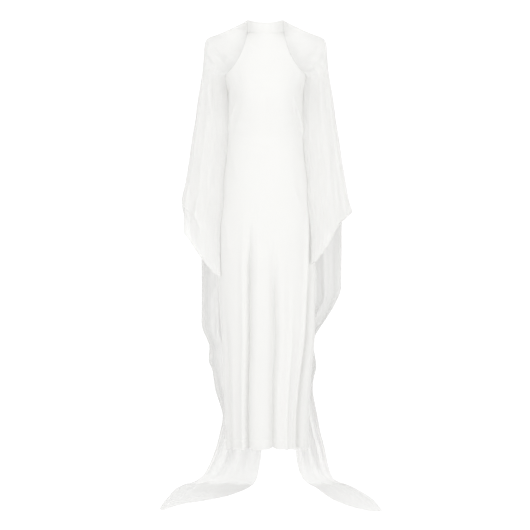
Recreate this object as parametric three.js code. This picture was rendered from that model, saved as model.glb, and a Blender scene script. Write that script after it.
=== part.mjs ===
// Wedding dress: a high-necked crepe column with sheer chiffon wings.
// Each wing is a loose sleeve whose back leaf falls behind the column to the floor
// and sweeps round into a pointed train. The dress keeps the hollow form of a worn garment.
//
// Millimetres. Seen from the front, which faces -Y, +X is to the right. +Z is up.
// The origin is the middle of the neck at the level of the shoulders, where the wearer holds the dress.
// Pieces named left lie on the -X side.

import * as THREE from 'three';

// ---------------------------------------------------------------- driving dimensions

const CREPE = 1.6;             // wall of the column
const CHIFFON = 1.2;           // wall of the wings
const COLLAR_BAND = 2.0;       // wall of the doubled collar
const SEAM = 0.3;              // gap between pieces that are sewn together
const HEM_Z = -1458;           // side of the column's hem
const FLOOR_Z = -1620;         // what the train lies on
const COLLAR_HALF = 62.6;      // half width of the collar's outside
const COLLAR_DEPTH = 60.1;     // front and back reach of the collar's outside
const FRONT_COLLAR_ANGLE = 78; // where the front leaf of a wing starts on the collar, in degrees from the front
const HEM_LIFT = 16;           // rise of the hem at the middle of the front
const BUTTON_RADIUS = 4.4;     // covered buttons that close the collar at the back
const BUTTON_HEIGHT = 3.4;
const BUTTON_HEIGHTS = { upper: 30, lower: 19 };
const BUTTON_ANGLE = 183.4;    // the buttons stand just beside the closed ends of the collar, in degrees

const DEG = Math.PI / 180;
const HALF_TURN = Math.PI;
const QUARTER = Math.PI / 2;

// ---------------------------------------------------------------- tables

const table = (columns, rows) => rows.map(row => Object.fromEntries(columns.map((name, i) => [name, row[i]])));

// The column's outer sections on a general figure.
const SECTIONS = table(['z', 'half', 'front', 'back', 'middle'], [
  [    0,  61.0,  60,  60, 0],
  [  -25,  92.0,  66,  78, 0],
  [  -54, 122.0,  74,  91, 0],
  [ -100, 146.0,  88, 104, 0],
  [ -155, 147.0, 104, 112, 0],
  [ -180, 141.0, 111, 114, 0],
  [ -222, 132.0, 117, 114, 0],
  [ -306, 135.5, 110, 106, 0],
  [ -376, 138.0, 102, 102, 0],
  [ -445, 144.0, 103, 108, 0],
  [ -515, 154.0, 107, 116, 0],
  [ -585, 162.0, 111, 120, 0],
  [ -655, 169.0, 112, 120, 0],
  [ -725, 172.0, 112, 118, 1],
  [ -795, 171.5, 112, 116, 2],
  [ -935, 168.0, 112, 114, 5],
  [-1075, 162.5, 112, 114, 9],
  [-1216, 154.0, 112, 115, 6],
  [-1357, 148.0, 113, 116, 5],
  [HEM_Z, 146.0, 114, 117, 6],
]);

// Distance of the raglan and armhole edge from the middle, front and back alike.
const RAGLAN = table(['z', 'x'], [
  [   0,  59.6],
  [ -20,  66.0],
  [ -54,  75.0],
  [ -76,  83.0],
  [-100,  94.0],
  [-120, 106.0],
  [-134, 117.0],
  [-146, 129.0],
  [-155, 140.0],
  [-180, 137.0],
  [-205, 134.0],
  [-222, 132.0],
]);
const UNDERARM_Z = RAGLAN[8].z;
const SIDE_SEAM_Z = RAGLAN[11].z;

// Long soft folds of the column: angle from the front at hip and hem, in degrees,
// half width and depth in mm (a negative depth is a trough), and where each fold starts and is full.
const FOLDS = table(['hip', 'hem', 'width', 'depth', 'start', 'full'], [
  [-162, -164, 15,  -6,  -760, -1150],
  [-128, -133, 13,  -9,  -680, -1000],
  [ -60,  -63, 14,  -7,  -900, -1250],
  [ -18,  -28, 10, -10,  -600,  -860],
  [   9,    8, 13, -12,  -660,  -980],
  [  33,   27, 15,   4,  -800, -1200],
  [  69,   47, 11, -11,  -590,  -840],
  [ 131,  127, 12, -10,  -640,  -960],
  [ 164,  160, 15,  -7,  -720, -1100],
]);

// Top line of the shoulders and arms, where the two leaves of a wing are joined.
const OVERARM = table(['z', 'x', 'y'], [
  [  38,  64.1,   0],
  [  25,  87.0,   2],
  [  11, 117.0,   4],
  [  -3, 148.0,   5],
  [ -13, 174.0,   5],
  [ -22, 197.0,   5],
  [ -35, 208.5,   5],
  [ -60, 212.5,   4],
  [-112, 216.0,   3],
  [-167, 223.0,   0],
  [-223, 233.0,   0],
  [-279, 240.5,  -2],
  [-334, 248.0,  -4],
  [-390, 258.0,  -6],
  [-445, 265.0,  -8],
  [-501, 273.5, -10],
  [-557, 285.0, -12],
  [-592, 291.0, -15],
  [-626, 301.0, -15],
]);

// Free inner edge of a front leaf, from the end of the raglan seam down in front of the hip.
const FREE_EDGE = table(['z', 'x', 'y'], [
  [-158, 141.5, -35.5],
  [-205, 133.5, -22.5],
  [-235, 130, -26],
  [-290, 129, -35.5],
  [-370, 130, -36.5],
  [-445, 136, -36.5],
  [-515, 145, -39],
  [-585, 146, -52],
  [-640, 154, -52],
  [-690, 160, -51],
  [-745, 162, -51],
  [-800, 161, -51],
  [-850, 159, -52],
]);

// Sections of a front leaf. `seam` is a height on the overarm line and `edge` one on the inner edge.
// `reach` is how far the cloth swings forward off the arm, `lead` how far it runs on from the inner edge,
// and `turn` the direction in which it leaves a free edge, in degrees forward of sideways.
const FRONT_LEAF = table(['seam', 'edge', 'reach', 'lead', 'turn'], [
  [  38,   33,  6,  6,   0],
  [  25,   18, 10,  8,   0],
  [  11,    2, 16, 14,   0],
  [  -3,  -16, 22, 26,   0],
  [ -13,  -36, 28, 36,   0],
  [ -22,  -62, 34, 46,   0],
  [ -35,  -90, 40, 52,   0],
  [ -60, -118, 46, 50,   0],
  [ -90, -142, 50, 44,   0],
  [-130, -158, 54, 42,   4],
  [-176, -205, 56, 48,   8],
  [-240, -290, 58, 50,   6],
  [-310, -370, 60, 50,   6],
  [-380, -445, 60, 48,   6],
  [-450, -515, 58, 46,   8],
  [-520, -585, 54, 44,  10],
]);

// Ends of the front leaves below the cuff: the outer edge, free from the cuff on, and the inner edge's height.
const FRONT_END = {
  left: table(['x', 'y', 'z', 'edge', 'reach', 'lead', 'turn'], [
    [291, -15, -592, -680, 46, 44, 10],
    [279, -27, -618, -720, 36, 40, 10],
    [283, -33, -650, -785, 28, 36, 8],
    [283, -35, -696, -850, 22, 30, 8],
  ]),
  right: table(['x', 'y', 'z', 'edge', 'reach', 'lead', 'turn'], [
    [291, -15, -592, -655, 46, 44, 10],
    [301, -15, -626, -710, 36, 40, 10],
    [285, -24, -637, -760, 28, 36, 8],
    [268, -31, -645, -806, 22, 30, 8],
  ]),
};

// Sections of a back leaf down to the cuff. `back` and `fall` place its inner edge behind the body.
const BACK_LEAF = table(['seam', 'back', 'fall', 'left', 'right'], [
  [  38,  61.6,   37, 0.8,  0.8],
  [  25,  78.0,   16, 1.0,  1.0],
  [  11,  88.0,   -6, 1.2,  1.2],
  [  -3,  97.0,  -30, 1.4,  1.5],
  [ -13, 107.0,  -60, 1.6,  1.8],
  [ -22, 115.0,  -90, 1.8,  2.2],
  [ -35, 121.0, -120, 2.0,  2.8],
  [ -60, 125.0, -150, 2.2,  3.5],
  [ -90, 128.0, -185, 2.5,  4.5],
  [-130, 130.0, -225, 2.8,  6.0],
  [-176, 132.0, -272, 3.2,  8.0],
  [-240, 134.0, -335, 3.8, 10.0],
  [-310, 137.0, -405, 4.4, 13.0],
  [-380, 140.0, -475, 5.0, 16.0],
  [-450, 143.0, -545, 5.6, 19.0],
  [-520, 145.0, -612, 6.2, 23.0],
]);

// Lower sections of the back leaves: outer edge (x, y, z), inner edge (ix, iy, iz),
// and how far the cloth swings out behind its outer edge.
const BACK_END = {
  left: table(['x', 'y', 'z', 'ix', 'iy', 'iz', 'reach'], [
    [291, -15,  -592,   7, 147,  -680, 76],
    [272,  20,  -672,   8, 148,  -750, 56],
    [238,  40,  -743,   8, 148,  -815, 46],
    [225,  50,  -790,   9, 149,  -860, 42],
    [225,  62,  -880,   9, 149,  -945, 36],
    [226,  70, -1020,  10, 150, -1080, 32],
    [208,  76, -1078,  11, 150, -1130, 30],
    [199,  81, -1108,  11, 150, -1160, 28],
    [202,  85, -1155,  11, 151, -1205, 28],
    [190,  91, -1190,  12, 151, -1240, 26],
    [180, 100, -1258,  12, 152, -1300, 24],
    [153, 118, -1361,  12, 153, -1395, 20],
    [163, 130, -1420,  13, 154, -1440, 16],
    [179, 144, -1482,  15, 156, -1490, 10],
    [203, 160, -1545,  22, 162, -1547,  6],
    [228, 171, -1588,  30, 171, -1588,  3],
    [260, 175, -1611,  39, 176, -1611,  0],
    [290, 161, FLOOR_Z,  48, 164, FLOOR_Z, 0],
    [311, 130, FLOOR_Z,  58, 130, FLOOR_Z, 0],
    [322,  86, FLOOR_Z,  75,  84, FLOOR_Z, 0],
    [330,  24, FLOOR_Z, 107,  21, FLOOR_Z, 0],
    [337, -40, FLOOR_Z, 148, -44, FLOOR_Z, 0],
    [345, -112, FLOOR_Z, 219, -112, FLOOR_Z, 0],
    [350, -174, FLOOR_Z, 289, -173, FLOOR_Z, 0],
    [354, -248, FLOOR_Z, 343, -260, FLOOR_Z, 0],
  ]),
  right: table(['x', 'y', 'z', 'ix', 'iy', 'iz', 'reach'], [
    [291, -15,  -592,  28, 147,  -680, 76],
    [301, -15,  -626,  31, 147,  -715, 70],
    [271,   8,  -647,  34, 148,  -745, 60],
    [266,  16,  -680,  36, 148,  -775, 54],
    [267,  34,  -770,  42, 149,  -850, 48],
    [267,  52,  -885,  50, 149,  -955, 40],
    [244,  60,  -955,  56, 150, -1015, 36],
    [211,  68, -1010,  60, 150, -1065, 32],
    [175,  79, -1072,  65, 151, -1125, 28],
    [171,  84, -1108,  68, 151, -1155, 26],
    [181,  92, -1176,  73, 152, -1210, 24],
    [173,  97, -1216,  77, 152, -1250, 24],
    [168, 103, -1262,  82, 152, -1295, 22],
    [186, 120, -1361,  95, 153, -1385, 18],
    [197, 133, -1421, 102, 154, -1435, 14],
    [213, 148, -1480, 110, 157, -1488,  8],
    [226, 162, -1545, 118, 163, -1547,  5],
    [240, 171, -1588, 131, 171, -1588,  2],
    [260, 175, -1611, 149, 176, -1611,  0],
    [288, 161, FLOOR_Z, 166, 163, FLOOR_Z, 0],
    [308, 124, FLOOR_Z, 180, 130, FLOOR_Z, 0],
    [323,  82, FLOOR_Z, 191,  88, FLOOR_Z, 0],
    [341,  22, FLOOR_Z, 205,  27, FLOOR_Z, 0],
    [360, -40, FLOOR_Z, 220, -36, FLOOR_Z, 0],
    [373, -112, FLOOR_Z, 242, -108, FLOOR_Z, 0],
    [381, -190, FLOOR_Z, 286, -200, FLOOR_Z, 0],
    [389, -268, FLOOR_Z, 352, -280, FLOOR_Z, 0],
  ]),
};

// Folds of the leaves, each a ridge or trough along the fall of the cloth: place across the leaf (0 at the
// outer edge, 1 at the inner), half width across, depth in mm, and stretch down the leaf.
const FRONT_LEAF_FOLDS = table(['across', 'width', 'depth', 'start', 'end'], [
  [0.32, 0.090,  4.0, 0.45, 1.20],
  [0.55, 0.080, -4.0, 0.35, 1.20],
  [0.78, 0.070,  3.0, 0.55, 1.20],
]);
const BACK_LEAF_FOLDS = table(['across', 'width', 'depth', 'start', 'end'], [
  [0.17, 0.055,   5, 0.30, 0.90],
  [0.31, 0.060,  -6, 0.22, 0.88],
  [0.45, 0.055,  12, 0.14, 0.92],
  [0.59, 0.050, -11, 0.20, 0.86],
  [0.73, 0.055,  10, 0.10, 0.90],
  [0.87, 0.045,  -8, 0.18, 0.88],
]);
// Low ripples that stay up off the floor.
const TRAIN_RIPPLES = table(['across', 'width', 'height'], [
  [0.22, 0.09, 7],
  [0.50, 0.07, 9],
  [0.76, 0.08, 6],
]);

// ---------------------------------------------------------------- curves through tables

// Monotone cubic through points (xs, ys); it never overshoots a row.
function smooth(xs, ys) {
  const last = xs.length - 1;
  const slopes = xs.slice(1).map((x, i) => (ys[i + 1] - ys[i]) / (x - xs[i]));
  const tangents = ys.map((_, i) => {
    if (i === 0) return slopes[0];
    if (i === last) return slopes[last - 1];
    const [a, b] = [slopes[i - 1], slopes[i]];
    return a * b <= 0 ? 0 : 2 * a * b / (a + b);
  });
  return x => {
    if (x <= xs[0]) return ys[0] + tangents[0] * (x - xs[0]);
    if (x >= xs[last]) return ys[last] + tangents[last] * (x - xs[last]);
    let i = 0;
    while (x > xs[i + 1]) i += 1;
    const h = xs[i + 1] - xs[i];
    const t = (x - xs[i]) / h;
    const s = 1 - t;
    return s * s * (1 + 2 * t) * ys[i] + t * t * (3 - 2 * t) * ys[i + 1]
      + h * t * s * (s * tangents[i] - t * tangents[i + 1]);
  };
}

// A column of a table as a function of height; the tables run downwards.
const byHeight = (rows, column) => {
  const down = smooth(rows.map(r => -r.z), rows.map(r => r[column]));
  return z => down(-z);
};

// The same column as a function of the row number, from 0 at the first row to 1 at the last.
const byRow = values => smooth(values.map((_, i) => i / (values.length - 1)), values);

const clamp = (x, low, high) => Math.min(high, Math.max(low, x));
const ease = (from, to, x) => {
  const t = clamp((x - from) / (to - from), 0, 1);
  return t * t * (3 - 2 * t);
};
const bell = x => Math.exp(-x * x);

// ---------------------------------------------------------------- cloth walls

const STEP = 1e-4;

// Outward unit normal of a surface (u, v) => point.
function normalOf(surface, u, v, side) {
  const du = surface(u + STEP, v).sub(surface(u - STEP, v));
  const dv = surface(u, v + STEP).sub(surface(u, v - STEP));
  return du.cross(dv).normalize().multiplyScalar(side);
}

// A closed wall of even thickness behind a surface, sampled at the given stations.
function clothWall(surface, us, vs, thickness, side) {
  const outer = [];
  const inner = [];
  for (const v of vs) {
    for (const u of us) {
      const point = surface(u, v);
      outer.push(point);
      inner.push(point.clone().addScaledVector(normalOf(surface, u, v, side), -thickness));
    }
  }
  const wide = us.length;
  const tall = vs.length;
  const count = wide * tall;
  const faces = [];
  const quad = (a, b, c, d) => faces.push(a, b, c, a, c, d);
  for (let j = 0; j + 1 < tall; j += 1) {
    for (let i = 0; i + 1 < wide; i += 1) {
      const a = j * wide + i;
      quad(a, a + 1, a + wide + 1, a + wide);
      quad(count + a, count + a + wide, count + a + wide + 1, count + a + 1);
    }
  }
  const rim = [];
  for (let i = 0; i < wide; i += 1) rim.push(i);
  for (let j = 1; j < tall; j += 1) rim.push(j * wide + wide - 1);
  for (let i = wide - 2; i >= 0; i -= 1) rim.push((tall - 1) * wide + i);
  for (let j = tall - 2; j > 0; j -= 1) rim.push(j * wide);
  rim.forEach((a, k) => {
    const b = rim[(k + 1) % rim.length];
    quad(b, a, count + a, count + b);
  });
  if (side < 0) {
    for (let k = 0; k < faces.length; k += 3) [faces[k + 1], faces[k + 2]] = [faces[k + 2], faces[k + 1]];
  }
  const geometry = new THREE.BufferGeometry();
  const positions = [...outer, ...inner].flatMap(p => [p.x, p.y, p.z]);
  geometry.setAttribute('position', new THREE.Float32BufferAttribute(positions, 3));
  geometry.setIndex(faces);
  geometry.computeVertexNormals();
  return geometry;
}

const evenly = (from, to, steps) => Array.from({ length: steps + 1 }, (_, i) => from + (to - from) * i / steps);

// Stations across a piece: close together over each fold, and no further apart than `widest` between folds.
const OVER_A_FOLD = [-1.9, -0.85, 0, 0.85, 1.9];
function acrossFolds(from, to, folds, widest) {
  const wanted = folds
    .flatMap(fold => OVER_A_FOLD.map(k => fold.at + k * fold.width))
    .filter(x => x > from && x < to)
    .sort((a, b) => a - b);
  const kept = [from];
  for (const x of [...wanted, to]) {
    const last = kept[kept.length - 1];
    if (x === to && x - last < widest * 0.25 && kept.length > 1) kept.pop();
    else if (x !== to && x - last < widest * 0.25) continue;
    const start = kept[kept.length - 1];
    kept.push(...evenly(start, x, Math.max(1, Math.ceil((x - start) / widest - 1e-9))).slice(1));
  }
  return kept;
}

// ---------------------------------------------------------------- the column

const half = byHeight(SECTIONS, 'half');
const frontDepth = byHeight(SECTIONS, 'front');
const backDepth = byHeight(SECTIONS, 'back');
const middle = byHeight(SECTIONS, 'middle');
const raglanX = byHeight(RAGLAN, 'x');

const BUST = { x: 72, z: -236, radius: 52, height: 9 };
const NECK_TILT = 12;          // the neck seam is lower in front by this much
const TILT_FADE_Z = -140;      // where the sections are level again
const HEM_LIFT_Z = -1100;      // above this the hem's rise is not felt
const FOLD_SHOULDER = 0.35;    // height of the swell beside a trough, as a share of its depth
const HEM_RIPPLE = 0.3;        // rise of the hem in a trough, as a share of its depth

// Angle of the raglan and armhole edge from the front (or from the back), in radians.
const edgeAngle = z => (z <= SIDE_SEAM_Z ? QUARTER : Math.asin(clamp(raglanX(z) / half(z), -1, 1)));

// The cloth's lines run down from the hip angle to the hem angle, so that they follow the folds.
const LINES = [[-180, -180], [-90, -90], [90, 90], [180, 180], ...FOLDS.map(f => [f.hip, f.hem])]
  .sort((a, b) => a[0] - b[0]);
const hemAngle = smooth(LINES.map(line => line[0] * DEG), LINES.map(line => line[1] * DEG));
const DRIFT_Z = -560;          // above this the lines run straight up
const MEAN_RADIUS = 140;

function foldDepth(angle, z) {
  let depth = 0;
  for (const fold of FOLDS) {
    const away = (angle - fold.hip * DEG) * MEAN_RADIUS / fold.width;
    const strength = ease(fold.start, fold.full, z) * fold.depth;
    const swell = bell(away - 2.1) + bell(away + 2.1);
    depth += strength * (bell(away) - FOLD_SHOULDER * swell);
  }
  return depth;
}

// Point of the column's outside on the line that starts at this angle from the middle of the front, in
// radians, at a nominal height.
function columnPoint(line, height) {
  const angle = THREE.MathUtils.lerp(line, hemAngle(line), ease(DRIFT_Z, HEM_Z, height));
  const c = Math.cos(angle);
  const s = Math.sin(angle);
  const depth = c > 0 ? frontDepth(height) : backDepth(height);
  const fold = foldDepth(line, height);
  const outward = new THREE.Vector3(s * depth, -c * half(height), 0).normalize();
  const bust = c > 0
    ? BUST.height * bell(Math.hypot(Math.abs(half(height) * s) - BUST.x, height - BUST.z) / BUST.radius)
    : 0;
  const tilt = -NECK_TILT * c * ease(TILT_FADE_Z, 0, height);
  const lift = (HEM_LIFT * Math.max(0, c) - HEM_RIPPLE * fold) * ease(HEM_LIFT_Z, HEM_Z, height);
  return new THREE.Vector3(middle(height) + half(height) * s, -depth * c - bust * ease(0, 0.5, c), height + tilt + lift)
    .addScaledVector(outward, fold);
}

// Rows of the column's three bands. Each panel is one length of cloth; its bands part by SEAM so that every
// solid is short enough to have collision pieces that follow its curve.
const COLUMN_BANDS = {
  bodice: [0, -18, -38, -60, -84, -108, -130, -146, -158, -188, SIDE_SEAM_Z, -255],
  hips: [-255, -300, -360, -425, -490, -555, -625, -705, -790],
  skirt: [-790, -900, -1020, -1160, -1310, HEM_Z],
};

// The surfaces of the column run down in mm, so the rows of a band are its heights turned over.
function bandRows(band) {
  const rows = COLUMN_BANDS[band].map(height => -height);
  const last = rows.length - 1;
  if (band !== 'bodice') rows[0] += SEAM / 2;
  if (band !== 'skirt') rows[last] -= SEAM / 2;
  return rows;
}

// A gap of SEAM between two panels, as an angle at this height.
const seamAngle = height => SEAM / 2 / half(height);

// Front panel: u runs from one edge (-1) to the other (1).
const frontPanel = (u, down) => columnPoint(u * (edgeAngle(-down) - seamAngle(-down)), -down);

// Back panel of one side: u runs from the side seam (0) to the centre back (1).
const backPanel = sign => (u, down) => {
  const from = HALF_TURN - edgeAngle(-down) + seamAngle(-down);
  const to = HALF_TURN - seamAngle(-down);
  return columnPoint(sign * THREE.MathUtils.lerp(from, to, u), -down);
};

// ---------------------------------------------------------------- the collar

const collarFoot = angle => -NECK_TILT * Math.cos(angle) + SEAM;
const collarTop = angle => 31.5 - 7.5 * Math.cos(angle) + 8 * Math.sin(angle) ** 2;
const ringPoint = (angle, z, grow = 0) => new THREE.Vector3(
  (COLLAR_HALF + grow) * Math.sin(angle), -(COLLAR_DEPTH + grow) * Math.cos(angle), z);
const COLLAR_OPENING = 0.6;    // gap of the collar's closed ends at the centre back

const collar = (u, v) => {
  const angle = u * (HALF_TURN - COLLAR_OPENING / 2 / COLLAR_HALF);
  return ringPoint(angle, THREE.MathUtils.lerp(collarTop(angle), collarFoot(angle), v));
};

// ---------------------------------------------------------------- the wings

const overarmX = byHeight(OVERARM, 'x');
const overarmY = byHeight(OVERARM, 'y');
const overarm = z => new THREE.Vector3(overarmX(z), overarmY(z), z);
const freeX = byHeight(FREE_EDGE, 'x');
const freeY = byHeight(FREE_EDGE, 'y');

const WING_ON_COLLAR = SEAM + CHIFFON;
const RAGLAN_GAP = 0.5;        // across the raglan seam, measured along the cloth
const BESIDE = new THREE.Vector3(1, 0, 0);

// Inner edge of a front leaf and the direction in which the cloth leaves it, for the wing on the +X side.
function frontEdge(z, turn) {
  if (z > 0) {
    const angle = FRONT_COLLAR_ANGLE * DEG;
    return { point: ringPoint(angle, z, WING_ON_COLLAR), away: ringPoint(angle + QUARTER, 0).normalize() };
  }
  if (z >= UNDERARM_Z) {
    const angle = edgeAngle(z) + RAGLAN_GAP / half(z);
    const away = columnPoint(angle + 0.01, z).sub(columnPoint(angle, z)).normalize();
    return { point: columnPoint(angle, z), away };
  }
  const away = BESIDE.clone().applyAxisAngle(new THREE.Vector3(0, 0, 1), -turn * DEG);
  return { point: new THREE.Vector3(freeX(z), freeY(z), z), away };
}

// Interpolates sections, each four Bezier points across the leaf, down the leaf.
function loft(sections) {
  const curves = [0, 1, 2, 3].map(k => ['x', 'y', 'z'].map(axis => byRow(sections.map(s => s[k][axis]))));
  return (u, v) => {
    const [a, b, c, d] = curves.map(axes => new THREE.Vector3(...axes.map(curve => curve(v))));
    const w = 1 - u;
    return a.multiplyScalar(w * w * w)
      .addScaledVector(b, 3 * w * w * u)
      .addScaledVector(c, 3 * w * u * u)
      .addScaledVector(d, u * u * u);
  };
}

// Adds folds to a leaf along its normal; they fade out at the overarm line, and the cloth never dips under the floor.
function folded(base, folds, side, edgeFade) {
  return (u, v) => {
    let depth = 0;
    for (const fold of folds) {
      const length = ease(fold.start, fold.start + 0.22, v) * (1 - ease(fold.end - 0.16, fold.end, v));
      depth += fold.depth * bell((u - fold.across) / fold.width) * length;
    }
    const point = base(u, v);
    const upright = ease(FLOOR_Z, FLOOR_Z + 140, point.z);
    return point.addScaledVector(normalOf(base, u, v, side), depth * upright * ease(0, edgeFade, u));
  };
}

const mirrored = (surface, sign) => (u, v) => {
  const point = surface(u, v);
  point.x *= sign;
  return point;
};

const shifted = (point, x, y, z) => new THREE.Vector3(point.x + x, point.y + y, point.z + z);
const HALF_SEAM = SEAM / 2;

function frontLeaf(name) {
  const sections = [
    ...FRONT_LEAF.map(row => ({ ...row, outer: overarm(row.seam) })),
    ...FRONT_END[name].map(row => ({ ...row, outer: new THREE.Vector3(row.x, row.y, row.z) })),
  ].map(row => {
    const edge = frontEdge(row.edge, row.turn);
    return [
      shifted(row.outer, 0, -HALF_SEAM, 0),
      shifted(row.outer, 0, -HALF_SEAM - row.reach, 0),
      edge.point.clone().addScaledVector(edge.away, row.lead),
      edge.point,
    ];
  });
  return folded(loft(sections), FRONT_LEAF_FOLDS, -1, 0.3);
}

const ELLIPSE = 0.5523;        // Bezier handle of a quarter ellipse

function backLeaf(name) {
  const upper = BACK_LEAF.map(row => {
    const outer = overarm(row.seam);
    const inner = new THREE.Vector3(row[name], row.back, row.fall);
    return [outer, inner, (row.back - outer.y) * ELLIPSE];
  });
  const lower = BACK_END[name].map(row => [
    new THREE.Vector3(row.x, row.y, row.z), new THREE.Vector3(row.ix, row.iy, row.iz), row.reach]);
  const sections = [...upper, ...lower].map(([outer, inner, reach]) => [
    shifted(outer, 0, HALF_SEAM, 0),
    shifted(outer, 0, HALF_SEAM + reach, 0),
    shifted(inner, (outer.x - inner.x) * ELLIPSE, 0, (outer.z - inner.z) * 0.1),
    inner,
  ]);
  const hanging = folded(loft(sections), BACK_LEAF_FOLDS, 1, 0.15);
  return (u, v) => {
    const point = hanging(u, v);
    const lying = 1 - ease(FLOOR_Z, FLOOR_Z + 60, point.z);
    const tip = 1 - ease(0.9, 1, v);
    for (const ripple of TRAIN_RIPPLES) {
      point.z += ripple.height * lying * tip * bell((u - ripple.across) / ripple.width);
    }
    return point;
  };
}

// ---------------------------------------------------------------- buttons

// A cloth-covered dome that stands on the collar's outside.
const BUTTON_PROFILE = table(['radius', 'height'], [
  [0.00, 0.00],
  [0.82, 0.00],
  [1.00, 0.28],
  [0.94, 0.60],
  [0.60, 0.90],
  [0.00, 1.00],
]);
const BUTTON_SIDES = 12;

function buttonGeometry() {
  const profile = BUTTON_PROFILE.map(p => new THREE.Vector2(p.radius * BUTTON_RADIUS, p.height * BUTTON_HEIGHT));
  return new THREE.LatheGeometry(profile, BUTTON_SIDES);
}

// ---------------------------------------------------------------- materials and assembly

const crepe = () => new THREE.MeshStandardMaterial({ color: 0xfaf9f5, roughness: 0.62, metalness: 0 });
const chiffon = () => new THREE.MeshStandardMaterial({
  color: 0xf3f3f0, roughness: 0.8, metalness: 0, transparent: true, opacity: 0.72, side: THREE.DoubleSide });

const dress = new THREE.Group();

function addPiece(name, geometry, cloth) {
  const mesh = new THREE.Mesh(geometry, cloth());
  mesh.name = name;
  dress.add(mesh);
  return mesh;
}

const SIDES = [['left', -1], ['right', 1]];

// A leaf is one length of cloth as well, in solids that end at these of its sections.
const FRONT_CUTS = { upper: 11, lower: Infinity };
const BACK_CUTS = {
  left: { upper: 11, lower: 18, train: Infinity },
  right: { upper: 11, lower: 20, train: Infinity },
};

// Rows of each solid of a leaf, with a gap of SEAM between one and the next.
function leafLengths(surface, sections, cuts) {
  const last = sections - 1;
  const halfGap = v => SEAM * STEP / surface(0.5, v + STEP).distanceTo(surface(0.5, v - STEP));
  let from = 0;
  return Object.entries(cuts).map(([name, end]) => {
    const to = Math.min(end, last);
    const rows = evenly(from / last, to / last, to - from);
    if (from > 0) rows[0] += halfGap(rows[0]);
    if (to < last) rows[to - from] -= halfGap(rows[to - from]);
    from = to;
    return [name, rows];
  });
}

// Stations across the column, in quarter turns from the middle of the front or from a side seam.
const WIDEST = 0.1;
const columnFolds = (from, sign) => FOLDS.map(fold => ({
  at: (sign * fold.hip - from) / 90, width: fold.width / MEAN_RADIUS / QUARTER }));
const leafStations = folds => acrossFolds(0, 1, folds.map(fold => ({ at: fold.across, width: fold.width })), WIDEST);

const frontStations = acrossFolds(-1, 1, columnFolds(0, 1), WIDEST);
for (const band of Object.keys(COLUMN_BANDS)) {
  const rows = bandRows(band);
  addPiece(`front_${band}`, clothWall(frontPanel, frontStations, rows, CREPE, -1), crepe);
  for (const [name, sign] of SIDES) {
    const stations = acrossFolds(0, 1, columnFolds(90, sign), WIDEST);
    addPiece(`back_${name}_${band}`, clothWall(backPanel(sign), stations, rows, CREPE, -sign), crepe);
  }
}
for (const [name, sign] of SIDES) {
  const front = mirrored(frontLeaf(name), sign);
  for (const [length, rows] of leafLengths(front, FRONT_LEAF.length + FRONT_END[name].length, FRONT_CUTS)) {
    addPiece(`sleeve_front_${name}_${length}`,
      clothWall(front, leafStations(FRONT_LEAF_FOLDS), rows, CHIFFON, -sign), chiffon);
  }
  const back = mirrored(backLeaf(name), sign);
  for (const [length, rows] of leafLengths(back, BACK_LEAF.length + BACK_END[name].length, BACK_CUTS[name])) {
    addPiece(`sleeve_back_${name}_${length}`,
      clothWall(back, leafStations(BACK_LEAF_FOLDS), rows, CHIFFON, sign), chiffon);
  }
}
addPiece('collar', clothWall(collar, evenly(-1, 1, 36), evenly(0, 1, 2), COLLAR_BAND, -1), crepe);
for (const [name, z] of Object.entries(BUTTON_HEIGHTS)) {
  const button = addPiece(`button_${name}`, buttonGeometry(), crepe);
  button.position.copy(ringPoint(BUTTON_ANGLE * DEG, z, SEAM));
  button.rotation.z = BUTTON_ANGLE * DEG - HALF_TURN;
}

export default dress;
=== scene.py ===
# Wedding dress: a high-necked column of matte crepe with sheer chiffon wings that fall into two trains.
# Lengths are in millimetres until a mesh is made; the dress faces -Y and +Z is up.

import bpy
import numpy as np
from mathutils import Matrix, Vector


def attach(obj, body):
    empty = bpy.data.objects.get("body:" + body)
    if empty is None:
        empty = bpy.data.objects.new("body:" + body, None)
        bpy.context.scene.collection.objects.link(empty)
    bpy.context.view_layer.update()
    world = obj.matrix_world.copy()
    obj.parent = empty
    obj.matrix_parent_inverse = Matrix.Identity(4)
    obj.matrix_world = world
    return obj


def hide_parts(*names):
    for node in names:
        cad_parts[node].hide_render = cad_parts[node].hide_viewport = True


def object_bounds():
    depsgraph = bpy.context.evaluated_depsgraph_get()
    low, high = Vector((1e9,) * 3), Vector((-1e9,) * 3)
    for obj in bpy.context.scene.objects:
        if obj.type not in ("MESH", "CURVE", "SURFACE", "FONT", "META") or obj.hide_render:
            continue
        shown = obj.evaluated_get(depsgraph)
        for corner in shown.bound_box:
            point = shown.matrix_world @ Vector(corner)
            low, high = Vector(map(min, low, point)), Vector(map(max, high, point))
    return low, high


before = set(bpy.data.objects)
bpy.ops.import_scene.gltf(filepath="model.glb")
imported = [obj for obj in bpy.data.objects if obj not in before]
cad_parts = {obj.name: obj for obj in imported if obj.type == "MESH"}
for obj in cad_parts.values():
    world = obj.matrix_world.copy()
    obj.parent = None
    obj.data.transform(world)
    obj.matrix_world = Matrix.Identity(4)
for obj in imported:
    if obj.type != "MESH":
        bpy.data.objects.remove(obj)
cad_box = [list(corner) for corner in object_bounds()]

MM = 0.001
DEG = np.pi / 180
TURN = 2 * np.pi
HALF_TURN = np.pi
QUARTER = np.pi / 2
SIDES = {"left": -1, "right": 1}

# ---------------------------------------------------------------- sizes of the cut

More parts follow.
